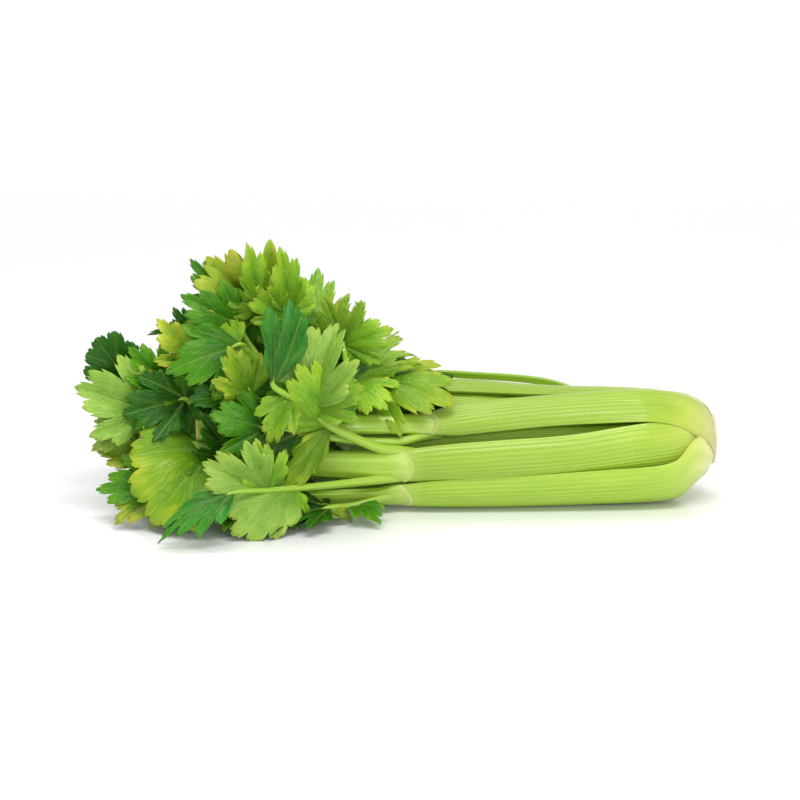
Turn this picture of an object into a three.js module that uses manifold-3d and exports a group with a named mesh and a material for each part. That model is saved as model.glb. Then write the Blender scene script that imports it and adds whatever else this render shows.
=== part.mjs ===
// A head of celery lying on its side, in millimetres, +Z up.
//
// The head lies along X: the cut butt is at +X and the leaves are at -X. Its axis is level, and the
// table is the plane z = 0. The head is made of a butt (the cut base of the root), twelve stalks
// packed round it in three whorls, and one compound leaf past the first node of each stalk. A leaf is
// one body: its rachis, the side stems that grow from it, and its lobed leaflets.
//
// Round the head, a turn of 0 degrees faces -Y, 90 faces up, 180 faces +Y and 270 faces the table.

import * as THREE from "three";
import { mergeVertices } from "three/addons/utils/BufferGeometryUtils.js";
import Module from "manifold-3d";

const wasm = await Module();
wasm.setup();

// ---------------------------------------------------------------- driving dimensions

const AXIS_HEIGHT = 40.4; // of the head's axis above the table
const AXIS_SIDE = 12; // of the head's axis from the middle of its leaves, along Y
const GAP = 0.4; // between any two touching pieces
const BODY_WRAP = 44; // degrees that a stalk's section curls each way along its body
const NECK_END = 200; // x where that starts: nearer the butt a stalk is bent round the head's axis
const NECK_LENGTH = 60; // how far the change takes
const MOST_THICK = 0.6; // of a stalk, as a share of its width
const NECK_THICK = 0.8; // of a stalk where it leaves the butt, as a share of its thickness
const LEAN_START = 196; // x past which a stalk turns outwards over the butt
const LEAN_LENGTH = 8;
const MOST_ROUND = 0.95; // of the way round the head that a stalk's base may reach, as a sine
const RIB_HEIGHT = 1.2;
const HOLLOW = 0.55; // how much thinner a stalk is at its edges, as a share of its thickness
const STALK_STEPS = 10; // sections along a stalk
const OUTER_POINTS = 9; // across its ribbed outer face
const INNER_POINTS = 3; // across its smooth inner face
const BLADE_THICKNESS = 1.0;
const INNER_AT = [0, 3, 7, 11, 14]; // the points of a leaflet's edge that have a point inside them
const INNER_REACH = 0.5; // of such a point, as a share of the way to the edge
const RUFFLE = 0.035; // of a leaflet's edge, as a share of its length
const WAVES = 7; // of that ruffle in one turn round the leaflet's base
const CUP = 0.1; // how much a leaflet's sides curl back
const CREASE = 2; // radius of the fold along a leaflet's middle
const TIP_TURN = 5; // degrees between the furthest places that a lobe's tip is drawn from
const TIP_REACH = [0.93, 1.05]; // the least and most that its reach is drawn from
const MITRE = 0.35; // the sharpest corner that an outline is grown round, as a cosine
const RACHIS_FLAT = 0.55; // thickness of a rachis as a share of its width
const RACHIS_SIDES = 7;
const SIDE_STEM_SIDES = 5;
const STEM_FACING = [0.1, 0.2, 1]; // the way that the first corners of a side stem look
const BUTT_SIDES = 20;
const SCRAP = 0.12; // edges finer than this are closed up after a cut
const MERGE = 1e-4; // points nearer than this are one
const TABLE = [1000, 1000, 40]; // size of the block under the table's face

// Where the stalks leave the butt: x, radius of the stalk's middle line, width of the stalk and what is
// added to its turn. The outer whorl comes first and then the two inner ones. The last four are stalks
// of the outer whorl that crowd each other, so that each of them leaves the butt its own way.
const WHORLS = [
  [[208.5, 17.5, 28, -10], [204.5, 22.5, 32, -4], [196.5, 26.5, 36, 0], [184, 28.8, 38, 0]],
  [[200, 10, 12.5, 0], [196, 14.5, 20, 0], [189, 18, 25, 0], [178, 20.5, 26, 0]],
  [[194, 3.8, 5, 0], [190, 5.2, 8, 0], [184, 6.5, 11, 0], [176, 7.5, 14, 0]],
  [[205, 12, 18, 4], [202, 19.5, 24, 6], [195, 26.3, 27, 7], [181, 30.5, 29, 2]],
  [[208.5, 17.5, 31, -31], [204.5, 22.5, 33, -14], [196.5, 27, 36.4, -4], [184, 30.4, 34, 1]],
  [[208.5, 16.5, 29.5, -17], [204.5, 22, 38, -3], [196.5, 29.3, 47, 10], [184, 38.1, 42, 2]],
  [[208.5, 17.5, 30, -17], [204.5, 22.5, 36, -3], [196.5, 28, 42, 4], [184, 33.5, 41, 2]],
];
const INNER_WHORLS = [1, 2];
const INNER_SPREAD = [-9, 2, 6, 5]; // of an inner stalk's width there, over its width at its body's start

// Each stalk from its base to its first node. A station is x, radius, turn and width.
const STALKS = [
  { name: "01", whorl: 4, turn: 60, thick: 9.5,
    body: [[160, 36, 55.5, 29], [105, 37.4, 47.5, 24.5], [60, 39, 39.5, 23.5], [36, 38, 35, 21.5],
           [21, 36, 32.5, 14.5]] },
  { name: "03", whorl: 5, turn: -36, thick: 9.5,
    body: [[160, 41.6, -36.5, 40], [100, 44.5, -38, 36.5], [50, 46, -38.5, 34], [18, 46.5, -38, 29],
           [2, 46, -39, 23]] },
  { name: "04", whorl: 0, turn: 120, thick: 9.5,
    body: [[160, 30.8, 114, 34], [100, 32, 105, 31], [50, 36, 96, 29], [8, 37.5, 90, 22]] },
  { name: "06", whorl: 6, turn: 186, thick: 9.5,
    body: [[160, 36.5, 186, 37], [100, 35, 186, 31], [50, 36, 184, 26], [12, 38, 182, 21]] },
  { name: "07", whorl: 6, turn: 258, thick: 9.5,
    body: [[160, 36.5, 258, 36], [100, 36.3, 258, 30], [50, 35.5, 258, 26], [8, 33, 256, 20]] },
  { name: "02", whorl: 3, turn: 10, thick: 9.5,
    body: [[160, 36, 8.8, 29.5], [115, 40.5, 1, 27.5], [60, 44.5, -3, 27.5], [20, 44.5, -6, 25.5],
           [3, 44, -8, 22]] },
  { name: "05", whorl: 1, turn: 150, thick: 5,
    body: [[160, 26, 150, 12], [135, 34.5, 150, 10], [100, 47.5, 140, 9], [22, 49.2, 128, 8.5]] },
  { name: "08", whorl: 1, turn: 78, thick: 8,
    body: [[160, 21.5, 78, 24], [100, 24.5, 78, 22], [50, 29.5, 80, 23], [10, 31, 84, 19]] },
  { name: "09", whorl: 1, turn: 222, thick: 8,
    body: [[160, 23, 222, 24], [100, 24.5, 222, 22], [50, 28, 222, 19], [0, 32, 220, 15]] },
  { name: "10", whorl: 1, turn: 294, thick: 8,
    body: [[160, 22.5, 294, 24], [100, 22, 298, 21], [50, 20.5, 302, 18], [-6, 19, 305, 14]] },
  { name: "11", whorl: 2, turn: 20, thick: 7,
    body: [[160, 14, 22, 18], [100, 18, 22, 18], [50, 19, 18, 17], [-10, 18, 14, 15]] },
  { name: "12", whorl: 2, turn: 185, thick: 7,
    body: [[160, 6.5, 185, 16], [100, 7, 180, 16], [50, 9, 170, 14], [-16, 11, 160, 11]] },
];

// The profile of the butt, from its inner tip round its rim to the middle of its cut face: x, radius.
const BUTT = [
  [186, 0], [196, 8], [205, 12], [209.5, 15], [212, 16.8], [213.4, 16.6], [214.2, 15], [214.2, 0],
];

// The lobes of each kind of leaflet: the angle and reach of each tip, the depth of each notch
// between two tips, and the angle and reach of the corner beside the stem.
const KINDS = {
  fan: { tips: [-62, -42, -16, 0, 16, 42, 62], reach: [0.62, 0.86, 0.86, 1, 0.86, 0.86, 0.62],
    notch: [0.58, 0.46, 0.74, 0.74, 0.46, 0.58], corner: [70, 0.32] },
  round: { tips: [-70, -47, -24, 0, 24, 47, 70], reach: [0.7, 0.86, 0.95, 1, 0.95, 0.86, 0.7],
    notch: [0.68, 0.76, 0.86, 0.86, 0.76, 0.68], corner: [86, 0.4] },
  finger: { tips: [-56, -37, -18, 0, 18, 37, 56], reach: [0.66, 0.84, 0.93, 1, 0.93, 0.84, 0.66],
    notch: [0.5, 0.46, 0.56, 0.56, 0.46, 0.5], corner: [65, 0.3] },
  spade: { tips: [-42, -28, -13, 5, 18, 30, 44], reach: [0.62, 0.84, 1, 0.88, 0.96, 0.84, 0.6],
    notch: [0.7, 0.84, 0.56, 0.84, 0.8, 0.64], corner: [52, 0.32] },
  long: { tips: [-34, -24, -12, 0, 12, 24, 34], reach: [0.46, 0.66, 0.86, 1, 0.86, 0.66, 0.46],
    notch: [0.42, 0.6, 0.8, 0.8, 0.6, 0.42], corner: [40, 0.25] },
};

// The leaf past each stalk's first node, those in front first. A stem is a list of x, y, z and radius.
// The first stem is the rachis, which is flattened towards the way its stalk faces, and the others
// start inside it. A leaflet is the stem and the point that it grows from, its tip, the way its upper
// face looks, its width as a share of its length, its bend from base to tip in radians, the slope of
// its two sides, and its kind.
const LEAVES = [
  { name: "02",
    stems: [
      [[1, -43.6, 34.3, 10], [-57, -46, 37, 8.8], [-110, -46, 40, 6.6], [-126, -44, 44, 6],
       [-172, -38, 53, 4.6]],
      [[-1, -44.5, 44, 3.6], [-17, -49, 49.5, 3.2], [-45, -57, 65.5, 2.9], [-57, -62, 78, 2.6],
       [-71, -66, 88, 2.3], [-81, -70, 96, 1.9]],
      [[-3, -45, 26, 3], [-46, -62, 27, 2.6], [-70, -75, 29, 2.3], [-85, -82, 30, 2],
       [-105, -92, 32, 1.6]],
    ],
    leaflets: [
      [1, 5, [-80, -62, 155], [0.7, -1, 0.1], 0.62, 0.44, 0.62, "spade"],
      [1, 4, [-86, -78, 58], [-0.3, -1, 0.1], 0.75, 0.38, 0.36, "fan"],
      [1, 2, [-77, -74, 28], [0.2, -1, 0.2], 0.8, 0.5, -0.3, "long"],
      [1, 2, [-68, -66, 112], [0.2, -1, 0.3], 1, 0.62, -0.36, "fan"],
      [1, 3, [-42, -46, 138], [-0.4, -1, 0.1], 0.8, 0.5, 0.36, "fan"],
      [2, 3, [-128, -94, 54], [0.2, -1, -0.1], 0.95, 0.38, 0.18, "fan"],
      [2, 4, [-150, -112, 5], [-0.5, -0.8, 0.6], 0.46, 0.9, -0.4, "finger"],
      [2, 2, [-106, -96, 6], [-0.1, -1, 0.3], 0.62, 0.75, -0.3, "round"],
      [0, 3, [-158, -82, 8], [-0.2, -1, 0.3], 1, 0.62, 0.3, "round"],
      [0, 2, [-128, -66, 78], [0.1, -1, 0.2], 0.7, 0.5, 0.3, "fan"],
    ] },
  { name: "05",
    stems: [
      [[21, 30.3, 79.1, 3.8], [-34, 20, 90, 3.7], [-68, 5, 107, 3.2], [-90, -12, 129, 2.6],
       [-91, -26, 138, 2]],
      [[-68, 5, 107, 2.2], [-70, -10, 120, 2], [-74, -24, 132, 1.7]],
      [[-90, -12, 129, 2.1], [-102, -13, 136, 1.9], [-112, -14, 141, 1.6]],
    ],
    leaflets: [
      [0, 3, [-128, -26, 176], [-0.1, -1, 0.2], 1.0, 0.5, 0.36, "fan"],
      [1, 2, [-78, -40, 179], [0.4, -1, 0.1], 1.0, 0.5, 0.3, "long"],
      [0, 4, [-97, -40, 182], [0.2, -1, 0.1], 0.85, 0.38, 0.3, "long"],
      [2, 2, [-138, -20, 168], [-0.2, -1, 0.2], 0.9, 0.5, 0.36, "fan"],
      [0, 1, [-30, 60, 122], [0.3, 0.7, 0.6], 0.9, 0.75, -0.36, "fan"],
      [0, 2, [-58, 40, 152], [0.3, 0.9, 0.4], 0.9, 0.62, -0.18, "fan"],
      [0, 3, [-104, 30, 160], [-0.3, 0.9, 0.5], 0.9, 0.62, -0.18, "fan"],
    ] },
  { name: "04",
    stems: [
      [[7, 0.5, 78, 7.5], [-32, 5, 83, 6.4], [-60, 14, 88, 5.2], [-95, 22, 94, 3.8],
       [-125, 26, 98, 2.4]],
      [[2, 4, 77, 3], [-20, -10, 84, 2.6], [-32, -16, 85, 2.4], [-36, -11, 97, 2], [-38, -8, 108, 1.7]],
    ],
    leaflets: [
      [1, 4, [-50, -14, 144], [0, -1, 0.2], 0.9, 0.62, -0.36, "fan"],
      [1, 4, [-4, -14, 122], [0.1, -1, 0.3], 1, 0.62, -0.27, "fan"],
      [1, 2, [16, -10, 96], [0.2, -0.7, 1], 0.45, 0.62, -0.5, "long"],
      [1, 1, [38, -37, 74], [0.3, -0.8, 0.7], 0.85, 0.7, -0.3, "fan"],
      [1, 2, [-8, -49, 71], [0, -1, 0.8], 0.9, 0.8, -0.36, "fan"],
      [0, 0, [34, -22, 69], [0.2, -0.9, 0.5], 0.8, 0.6, 0.18, "fan"],
      [0, 2, [-44, 54, 112], [0.2, 0.7, 0.8], 0.9, 0.62, -0.36, "fan"],
      [0, 1, [2, 44, 104], [0.3, 0.6, 0.9], 0.9, 0.75, -0.36, "fan"],
      [0, 3, [-96, 66, 112], [0, 0.8, 0.8], 0.9, 0.75, -0.36, "fan"],
      [0, 3, [-112, 2, 136], [-0.2, 0.2, 1], 0.9, 0.62, 0.36, "fan"],
      [0, 4, [-174, 38, 104], [-0.1, 0.4, 1], 0.9, 0.7, 0.18, "fan"],
    ] },
  { name: "01",
    stems: [
      [[19, -30.6, 59.8, 6.4], [-36, -40, 62, 6.6], [-80, -43, 62, 7], [-105, -45, 61, 7],
       [-134, -47, 60, 6.8]],
      [[17, -34, 53.5, 3], [-4, -40, 50, 2.7], [-36, -46, 53.5, 2.5], [-65, -58, 62, 2.2],
       [-87, -64, 66, 1.8]],
      [[-80, -43, 62, 2.4], [-88, -49, 76, 2.1], [-96, -55, 86, 1.7]],
      [[-105, -45, 61, 2.4], [-108, -46, 72, 2.1], [-108, -48, 81, 1.7]],
    ],
    leaflets: [
      [1, 4, [-124, -76, 80], [0.1, -1, 0.5], 1, 0.62, -0.27, "fan"],
      [2, 2, [-112, -62, 122], [0.3, -1, 0.1], 0.8, 0.38, 0.3, "fan"],
      [3, 2, [-140, -60, 84], [0, -0.8, 0.7], 0.9, 0.62, 0.36, "fan"],
      [1, 3, [-100, -78, 50], [-0.1, -1, 0.2], 0.8, 0.5, -0.36, "fan"],
    ] },
  { name: "08",
    stems: [
      [[8, -3.2, 71, 6.4], [-41, -5, 77, 4.2], [-93, -20, 101, 3.2], [-108, -24, 110, 2.6],
       [-133, -18, 102, 1.8]],
      [[-93, -20, 101, 2.3], [-102, -24, 116, 2], [-107, -26, 127, 1.7]],
      [[-93, -20, 101, 2.3], [-100, -34, 111, 2], [-104, -43, 117, 1.7]],
      [[-108, -24, 110, 2.1], [-122, -14, 112, 1.8], [-133, -6, 109, 1.6]],
    ],
    leaflets: [
      [1, 2, [-142, -34, 148], [-0.2, -1, 0.3], 0.95, 0.5, 0.27, "fan"],
      [2, 2, [-150, -58, 100], [0, -1, 0.5], 1, 0.62, -0.27, "fan"],
      [0, 4, [-160, -26, 130], [-0.2, -1, 0.3], 0.9, 0.5, 0.36, "fan"],
      [3, 2, [-152, -8, 134], [-0.1, -1, 0.2], 0.8, 0.5, 0.36, "fan"],
      [0, 1, [-66, 10, 122], [0.3, 0.2, 1], 0.9, 0.62, 0.18, "fan"],
    ] },
  { name: "11",
    stems: [
      [[-12, -17.5, 44.8, 4.6], [-70, -20, 50, 3.7], [-125, -30, 54, 3.3], [-150, -33, 62, 3],
       [-166, -33, 69, 2.6]],
      [[-166, -33, 69, 1.9], [-176, -20, 78, 1.8], [-183, -10, 85, 1.6]],
      [[-150, -33, 62, 1.9], [-154, -27, 76, 1.8], [-157, -23, 86, 1.6]],
      [[-125, -30, 54, 2], [-136, -30, 68, 1.8], [-142, -31, 77, 1.6]],
    ],
    leaflets: [
      [1, 2, [-203, -12, 115], [0.1, -1, 0.1], 0.85, 0.38, 0.3, "round"],
      [0, 4, [-216, -44, 88], [0, -1, 0.4], 0.95, 0.5, 0.18, "fan"],
      [2, 2, [-180, -32, 114], [0.2, -1, 0.3], 0.8, 0.38, 0.4, "fan"],
      [3, 2, [-184, -46, 68], [0, -1, 0.4], 0.9, 0.5, 0.36, "fan"],
    ] },
  { name: "03",
    stems: [
      [[1, -35.8, 11.6, 7.6], [-50, -45, 13, 6.4], [-100, -45, 12, 4.4], [-142, -44, 13, 2.6]],
      [[-3, -41, 12, 2.8], [-30, -52, 10, 2.3], [-46, -60, 11, 1.8]],
      [[-50, -45, 13, 2.4], [-60, -54, 9, 2.1], [-68, -62, 7, 1.8]],
    ],
    leaflets: [
      [1, 2, [-84, -80, 3], [0, -0.3, 1], 0.9, 0.5, 0.18, "fan"],
      [1, 1, [-14, -74, 3], [0.1, -0.3, 1], 0.8, 0.62, 0.18, "fan"],
      [2, 2, [-108, -86, 3], [0, -0.3, 1], 0.8, 0.5, 0.18, "fan"],
      [2, 2, [-30, -60, 4], [0, -0.6, 1], 0.7, 0.62, 0.18, "long"],
      [0, 2, [-150, -88, 4], [0, -0.3, 1], 0.8, 0.5, 0.18, "fan"],
      [0, 3, [-186, -40, 5], [0, -0.3, 1], 0.8, 0.5, 0.18, "fan"],
    ] },
  { name: "10",
    stems: [
      [[-8, -11, 25, 4.6], [-60, -20, 24, 4], [-120, -32, 25, 3.2], [-155, -48, 20, 2]],
      [[-120, -32, 25, 2.2], [-145, -30, 32, 2], [-159, -33, 36, 1.7]],
      [[-120, -32, 25, 2.2], [-150, -18, 40, 2], [-178, -28, 60, 1.6]],
    ],
    leaflets: [
      [0, 3, [-200, -58, 22], [0, -1, 0.8], 0.9, 0.62, 0.18, "fan"],
      [0, 3, [-186, -74, 3], [0, -0.8, 1], 0.9, 0.62, 0.18, "fan"],
      [1, 2, [-202, -42, 44], [0, -1, 0.4], 0.8, 0.5, 0.36, "fan"],
      [2, 2, [-206, -40, 44], [0, -1, 0.2], 0.8, 0.5, 0.18, "fan"],
    ] },
  { name: "06",
    stems: [
      [[10, 38, 40, 7.5], [-40, 48, 46, 6.2], [-90, 57, 51, 4.8], [-136, 65, 53, 2.8]],
      [[6, 40, 47, 2.8], [-20, 52, 62, 2.4], [-45, 62, 76, 1.9]],
      [[6, 40, 33, 2.8], [-20, 54, 26, 2.4], [-48, 66, 22, 1.9]],
    ],
    leaflets: [
      [1, 2, [-86, 76, 96], [0, 1, 0.4], 0.95, 0.75, -0.18, "fan"],
      [1, 1, [-14, 68, 98], [0.3, 1, 0.4], 0.9, 0.62, -0.36, "fan"],
      [2, 2, [-92, 90, 8], [0, 1, 0.6], 0.95, 0.75, -0.18, "fan"],
      [2, 1, [4, 86, 6], [0.2, 0.8, 0.8], 0.9, 0.75, -0.18, "fan"],
      [0, 2, [-112, 74, 94], [0, 1, 0.2], 0.9, 0.62, 0.36, "fan"],
      [0, 2, [-128, 90, 26], [0, 1, 0.4], 0.9, 0.75, -0.18, "fan"],
      [0, 3, [-184, 70, 66], [-0.2, 1, 0.3], 0.9, 0.6, 0.2, "fan"],
    ] },
  { name: "12",
    stems: [
      [[-18, 10, 45, 4], [-70, 14, 53, 3.4], [-124, 17, 61, 2.8], [-161, 19, 62, 2]],
    ],
    leaflets: [
      [0, 1, [-92, 34, 86], [0, 0.6, 0.8], 0.9, 0.62, 0.18, "fan"],
      [0, 2, [-150, 30, 100], [0, 0.7, 0.5], 0.9, 0.62, 0.18, "fan"],
      [0, 2, [-164, 44, 66], [0, 0.8, 0.5], 0.9, 0.62, 0.18, "fan"],
      [0, 3, [-207, 14, 64], [-0.2, 0.2, 1], 0.9, 0.62, 0.18, "fan"],
      [0, 2, [-160, 0, 34], [0, -0.5, 0.8], 0.9, 0.62, 0.18, "fan"],
    ] },
  { name: "09",
    stems: [
      [[-2, 24.5, 20, 5], [-50, 34, 25, 4.2], [-100, 44, 30, 3.2], [-140, 50, 32, 2.2]],
    ],
    leaflets: [
      [0, 1, [-84, 28, 56], [0, 0.5, 1], 0.9, 0.62, 0.18, "fan"],
      [0, 2, [-134, 78, 14], [0, 0.8, 0.8], 0.9, 0.62, -0.18, "fan"],
      [0, 2, [-138, 34, 66], [0, 0.6, 0.8], 0.9, 0.62, 0.18, "fan"],
      [0, 3, [-190, 52, 30], [-0.1, 0.6, 0.8], 0.9, 0.62, 0.18, "fan"],
    ] },
  { name: "07",
    stems: [
      [[6, 8, 9, 7.2], [-40, 10, 12, 6], [-90, 14, 12, 4.6], [-135, 16, 12, 2.8]],
      [[2, 4, 9, 2.8], [-25, -8, 8, 2.3], [-50, -16, 8, 1.8]],
      [[2, 12, 9, 2.8], [-25, 28, 8, 2.3], [-48, 38, 8, 1.8]],
    ],
    leaflets: [
      [1, 2, [-92, -24, 5], [0, 0, 1], 0.8, 0.5, 0.18, "fan"],
      [2, 2, [-88, 62, 4], [0, 0.2, 1], 0.9, 0.5, 0.18, "fan"],
      [2, 1, [-2, 58, 4], [0, 0.2, 1], 0.9, 0.5, 0.18, "fan"],
      [0, 2, [-122, -18, 6], [0, 0, 1], 0.8, 0.5, 0.18, "fan"],
      [0, 2, [-122, 48, 6], [0, 0.2, 1], 0.8, 0.5, 0.18, "fan"],
      [0, 3, [-182, 10, 7], [0, 0, 1], 0.9, 0.5, 0.18, "fan"],
    ] },
];

const COLOURS = { butt: "#d9c9a0", stalk: "#b9d56a", leaf: "#5a9a26" };

// ---------------------------------------------------------------- small tools

const degrees = THREE.MathUtils.degToRad;
const sum = (a, b, scale = 1) => a.map((value, i) => value + b[i] * scale);
const dot = (a, b) => a.reduce((total, value, i) => total + value * b[i], 0);
const unit = (a) => a.map((value) => value / Math.sqrt(dot(a, a)));
const cross = (a, b) => [
  a[1] * b[2] - a[2] * b[1], a[2] * b[0] - a[0] * b[2], a[0] * b[1] - a[1] * b[0],
];
const away = (a, along) => unit(sum(a, along, -dot(a, along)));
const spread = (count, from, to) =>
  Array.from({ length: count }, (_, i) => from + ((to - from) * i) / (count - 1));

// A repeatable run of draws between 0 and 1.
function draws(seed) {
  let state = seed * 7919 + 104729;
  return () => {
    state = (state * 16807) % 2147483647;
    return state / 2147483647;
  };
}

// Rows along a smooth curve through the given rows, every column alike.
function spline(rows, count) {
  const ends = [sum(rows[0].map((v) => 2 * v), rows[1], -1)];
  const last = rows.length - 1;
  const all = [...ends, ...rows, sum(rows[last].map((v) => 2 * v), rows[last - 1], -1)];
  return spread(count, 0, last).map((t) => {
    const i = Math.min(Math.floor(t), last - 1);
    const f = t - i;
    const [a, b, c, d] = all.slice(i, i + 4);
    return b.map((_, k) => 0.5 * (2 * b[k] + (c[k] - a[k]) * f
      + (2 * a[k] - 5 * b[k] + 4 * c[k] - d[k]) * f * f
      + (3 * b[k] - a[k] - 3 * c[k] + d[k]) * f * f * f));
  });
}

// The points of a path, longer by an allowance at each end, and its direction at each of them.
function pathOf(rows, grow) {
  const points = rows.map((row) => row.slice(0, 3));
  const last = points.length - 1;
  const along = points.map((_, i) => unit(
    sum(points[Math.min(i + 1, last)], points[Math.max(i - 1, 0)], -1)));
  points[0] = sum(points[0], along[0], -grow);
  points[last] = sum(points[last], along[last], grow);
  return { points, along };
}

// A solid from a geometry whose shared vertices are merged here.
function solid(geometry) {
  const bare = new THREE.BufferGeometry();
  bare.setAttribute("position", geometry.getAttribute("position"));
  bare.setIndex(geometry.getIndex());
  const merged = mergeVertices(bare, MERGE);
  return new wasm.Manifold(new wasm.Mesh({
    numProp: 3,
    vertProperties: merged.getAttribute("position").array,
    triVerts: new Uint32Array(merged.getIndex().array),
  }));
}

// A solid from its points and triangles.
function solidFrom(points, triangles) {
  const geometry = new THREE.BufferGeometry();
  geometry.setAttribute("position", new THREE.Float32BufferAttribute(points.flat(), 3));
  geometry.setIndex(triangles.flat());
  return solid(geometry);
}

// A solid skinned over rings of points, whose two end caps are filled as the given flat section is.
function loft(rings, section) {
  const around = rings[0].length;
  const triangles = [];
  for (let i = 0; i < rings.length - 1; i++) {
    for (let j = 0; j < around; j++) {
      const a = i * around + j;
      const b = i * around + ((j + 1) % around);
      triangles.push([a, b, b + around], [a, b + around, a + around]);
    }
  }
  const lastRing = (rings.length - 1) * around;
  const flat = section.map(([u, v]) => new THREE.Vector2(u, v));
  const turned = THREE.ShapeUtils.isClockWise(flat);
  for (const [a, b, c] of THREE.ShapeUtils.triangulateShape(turned ? flat.reverse() : flat, [])) {
    const [p, q, r] = turned ? [around - 1 - a, around - 1 - c, around - 1 - b] : [a, b, c];
    triangles.push([p, r, q], [lastRing + p, lastRing + q, lastRing + r]);
  }
  return solidFrom(rings.flat(), triangles);
}

// The biggest piece of a solid: what a cut leaves loose is dropped.
function biggest(piece) {
  const pieces = piece.simplify(SCRAP).decompose();
  return pieces.reduce((a, b) => (b.volume() > a.volume() ? b : a));
}

// ---------------------------------------------------------------- stalks

// A stalk's stations as x, y, z, the outward y and z, and width.
function stalkRows({ whorl, turn, body }) {
  const station = ([x, radius, angle, width]) => {
    const side = Math.cos(degrees(angle));
    const up = Math.sin(degrees(angle));
    return [x, -radius * side, AXIS_HEIGHT + radius * up, -side, up, width];
  };
  const base = WHORLS[whorl].map(([x, radius, width, twist], i) => {
    const widest = INNER_WHORLS.includes(whorl) ? body[0][3] + INNER_SPREAD[i] : width;
    return station([x, radius, turn + twist, Math.min(width, widest)]);
  });
  return [...base, ...body.map(station)];
}

// Across a stalk: how far each point is from its middle, and how high above the middle line. The ribbed
// outer face comes first, then the hollowed inner one.
function stalkSection(thick, grow) {
  const outer = spread(OUTER_POINTS, -1, 1).map((s, i) => {
    const rib = RIB_HEIGHT * (i % 2 ? 0.5 : -0.5) * (1 - s ** 4);
    return [s, thick / 2 + rib + grow];
  });
  const inner = spread(INNER_POINTS + 2, 1, -1).slice(1, -1).map((s) => {
    const depth = thick * (1 - HOLLOW * s * s) * Math.sqrt(1 - s ** 8);
    return [s, thick / 2 - depth - grow];
  });
  return [...outer, ...inner];
}

// The same section curled up by so many radians each way.
function curledSection(section, width, thick, wrap, grow) {
  const curl = width / 2 / Math.sin(wrap);
  return section.map(([s, height]) => {
    const angle = s * (wrap + grow / curl);
    const far = curl + height - thick / 2;
    return [Math.sin(angle) * far, Math.cos(angle) * far + thick / 2 - curl];
  });
}

// All stalks' end caps are filled as those of a stalk 20 mm wide and 6 mm thick.
const SAMPLE = curledSection(stalkSection(6, 0), 20, 6, degrees(BODY_WRAP), 0);

// A whole stalk. Along its body its section is curled up across its own width, and near the butt the
// same section is bent round the head's axis, so that the stalks' bases close up side by side.
function stalkSolid(stalk, grow = 0) {
  const rows = spline(stalkRows(stalk), STALK_STEPS);
  const { points, along } = pathOf(rows, grow);
  const rings = rows.map(([x, , , outY, outZ, width], i) => {
    // At its base a stalk runs outwards from the butt, so its outer face looks along +X there.
    const lean = THREE.MathUtils.clamp((x - LEAN_START) / LEAN_LENGTH, 0, 1);
    const outward = away([lean, outY * (1 - lean), outZ * (1 - lean)], along[i]);
    const across = cross(along[i], outward);
    const grown = THREE.MathUtils.clamp((NECK_END - x) / NECK_LENGTH, 0, 1);
    const thick = Math.min(stalk.thick * (NECK_THICK + (1 - NECK_THICK) * grown), MOST_THICK * width);
    const section = stalkSection(thick, grow);
    const flat = curledSection(section, width, thick, degrees(BODY_WRAP), grow);
    const [px, py, pz] = points[i];
    const radius = Math.hypot(py, pz - AXIS_HEIGHT);
    const turn = Math.atan2(pz - AXIS_HEIGHT, -py);
    const outwards = dot(outward, [0, -Math.cos(turn), Math.sin(turn)]);
    const round = Math.asin(Math.min(width / 2 / (radius + thick / 2), MOST_ROUND)) + grow / radius;
    return section.map(([s, height], j) => {
      const curled = sum(sum(points[i], across, flat[j][0]), outward, flat[j][1]);
      const far = radius + height * outwards;
      const angle = turn + s * round;
      const bent = [px + height * outward[0], -far * Math.cos(angle), AXIS_HEIGHT + far * Math.sin(angle)];
      return curled.map((value, axis) => grown * value + (1 - grown) * bent[axis]);
    });
  });
  return loft(rings, SAMPLE);
}

// ---------------------------------------------------------------- leaves

const circle = (sides) => spread(sides + 1, 0, 2 * Math.PI).slice(0, -1)
  .map((angle) => [Math.cos(angle), Math.sin(angle)]);

// A stem as a tube of the given number of sides, flattened towards one way.
function stemSolid(stem, sides, facing, flat, grow) {
  const rows = spline(stem, stem.length + 1);
  const { points, along } = pathOf(rows, grow);
  const rings = rows.map((row, i) => {
    const outward = away(facing, along[i]);
    const across = cross(outward, along[i]);
    const radius = row[3] + grow;
    return circle(sides).map(([u, v]) => sum(
      sum(points[i], across, radius * u), outward, radius * flat * v));
  });
  return loft(rings, circle(sides));
}

// A leaflet's edge as angle and reach, from one corner round its lobes to the other.
function edgeOf(kind, draw) {
  const { tips, reach, notch, corner } = KINDS[kind];
  const [least, most] = TIP_REACH;
  const lobes = tips.map((angle, i) => [
    angle + TIP_TURN * (draw() - 0.5), reach[i] * (least + (most - least) * draw())]);
  const edge = [[-corner[0], corner[1]]];
  lobes.forEach(([angle, far], i) => {
    edge.push([angle, far]);
    if (i < notch.length) edge.push([(angle + lobes[i + 1][0]) / 2, notch[i]]);
  });
  edge.push(corner);
  return edge.map(([angle, far]) => [degrees(angle), far]);
}

// A flat outline, listed clockwise, with every point moved outwards by an allowance.
function grownOutline(outline, grow) {
  return outline.map((point, i) => {
    const before = unit(sum(point, outline.at(i - 1), -1));
    const after = unit(sum(outline[(i + 1) % outline.length], point, -1));
    const out = unit([-before[1] - after[1], before[0] + after[0]]);
    const squareness = Math.max(MITRE, dot(out, [-after[1], after[0]]));
    return sum(point, out, grow / squareness);
  });
}

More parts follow.
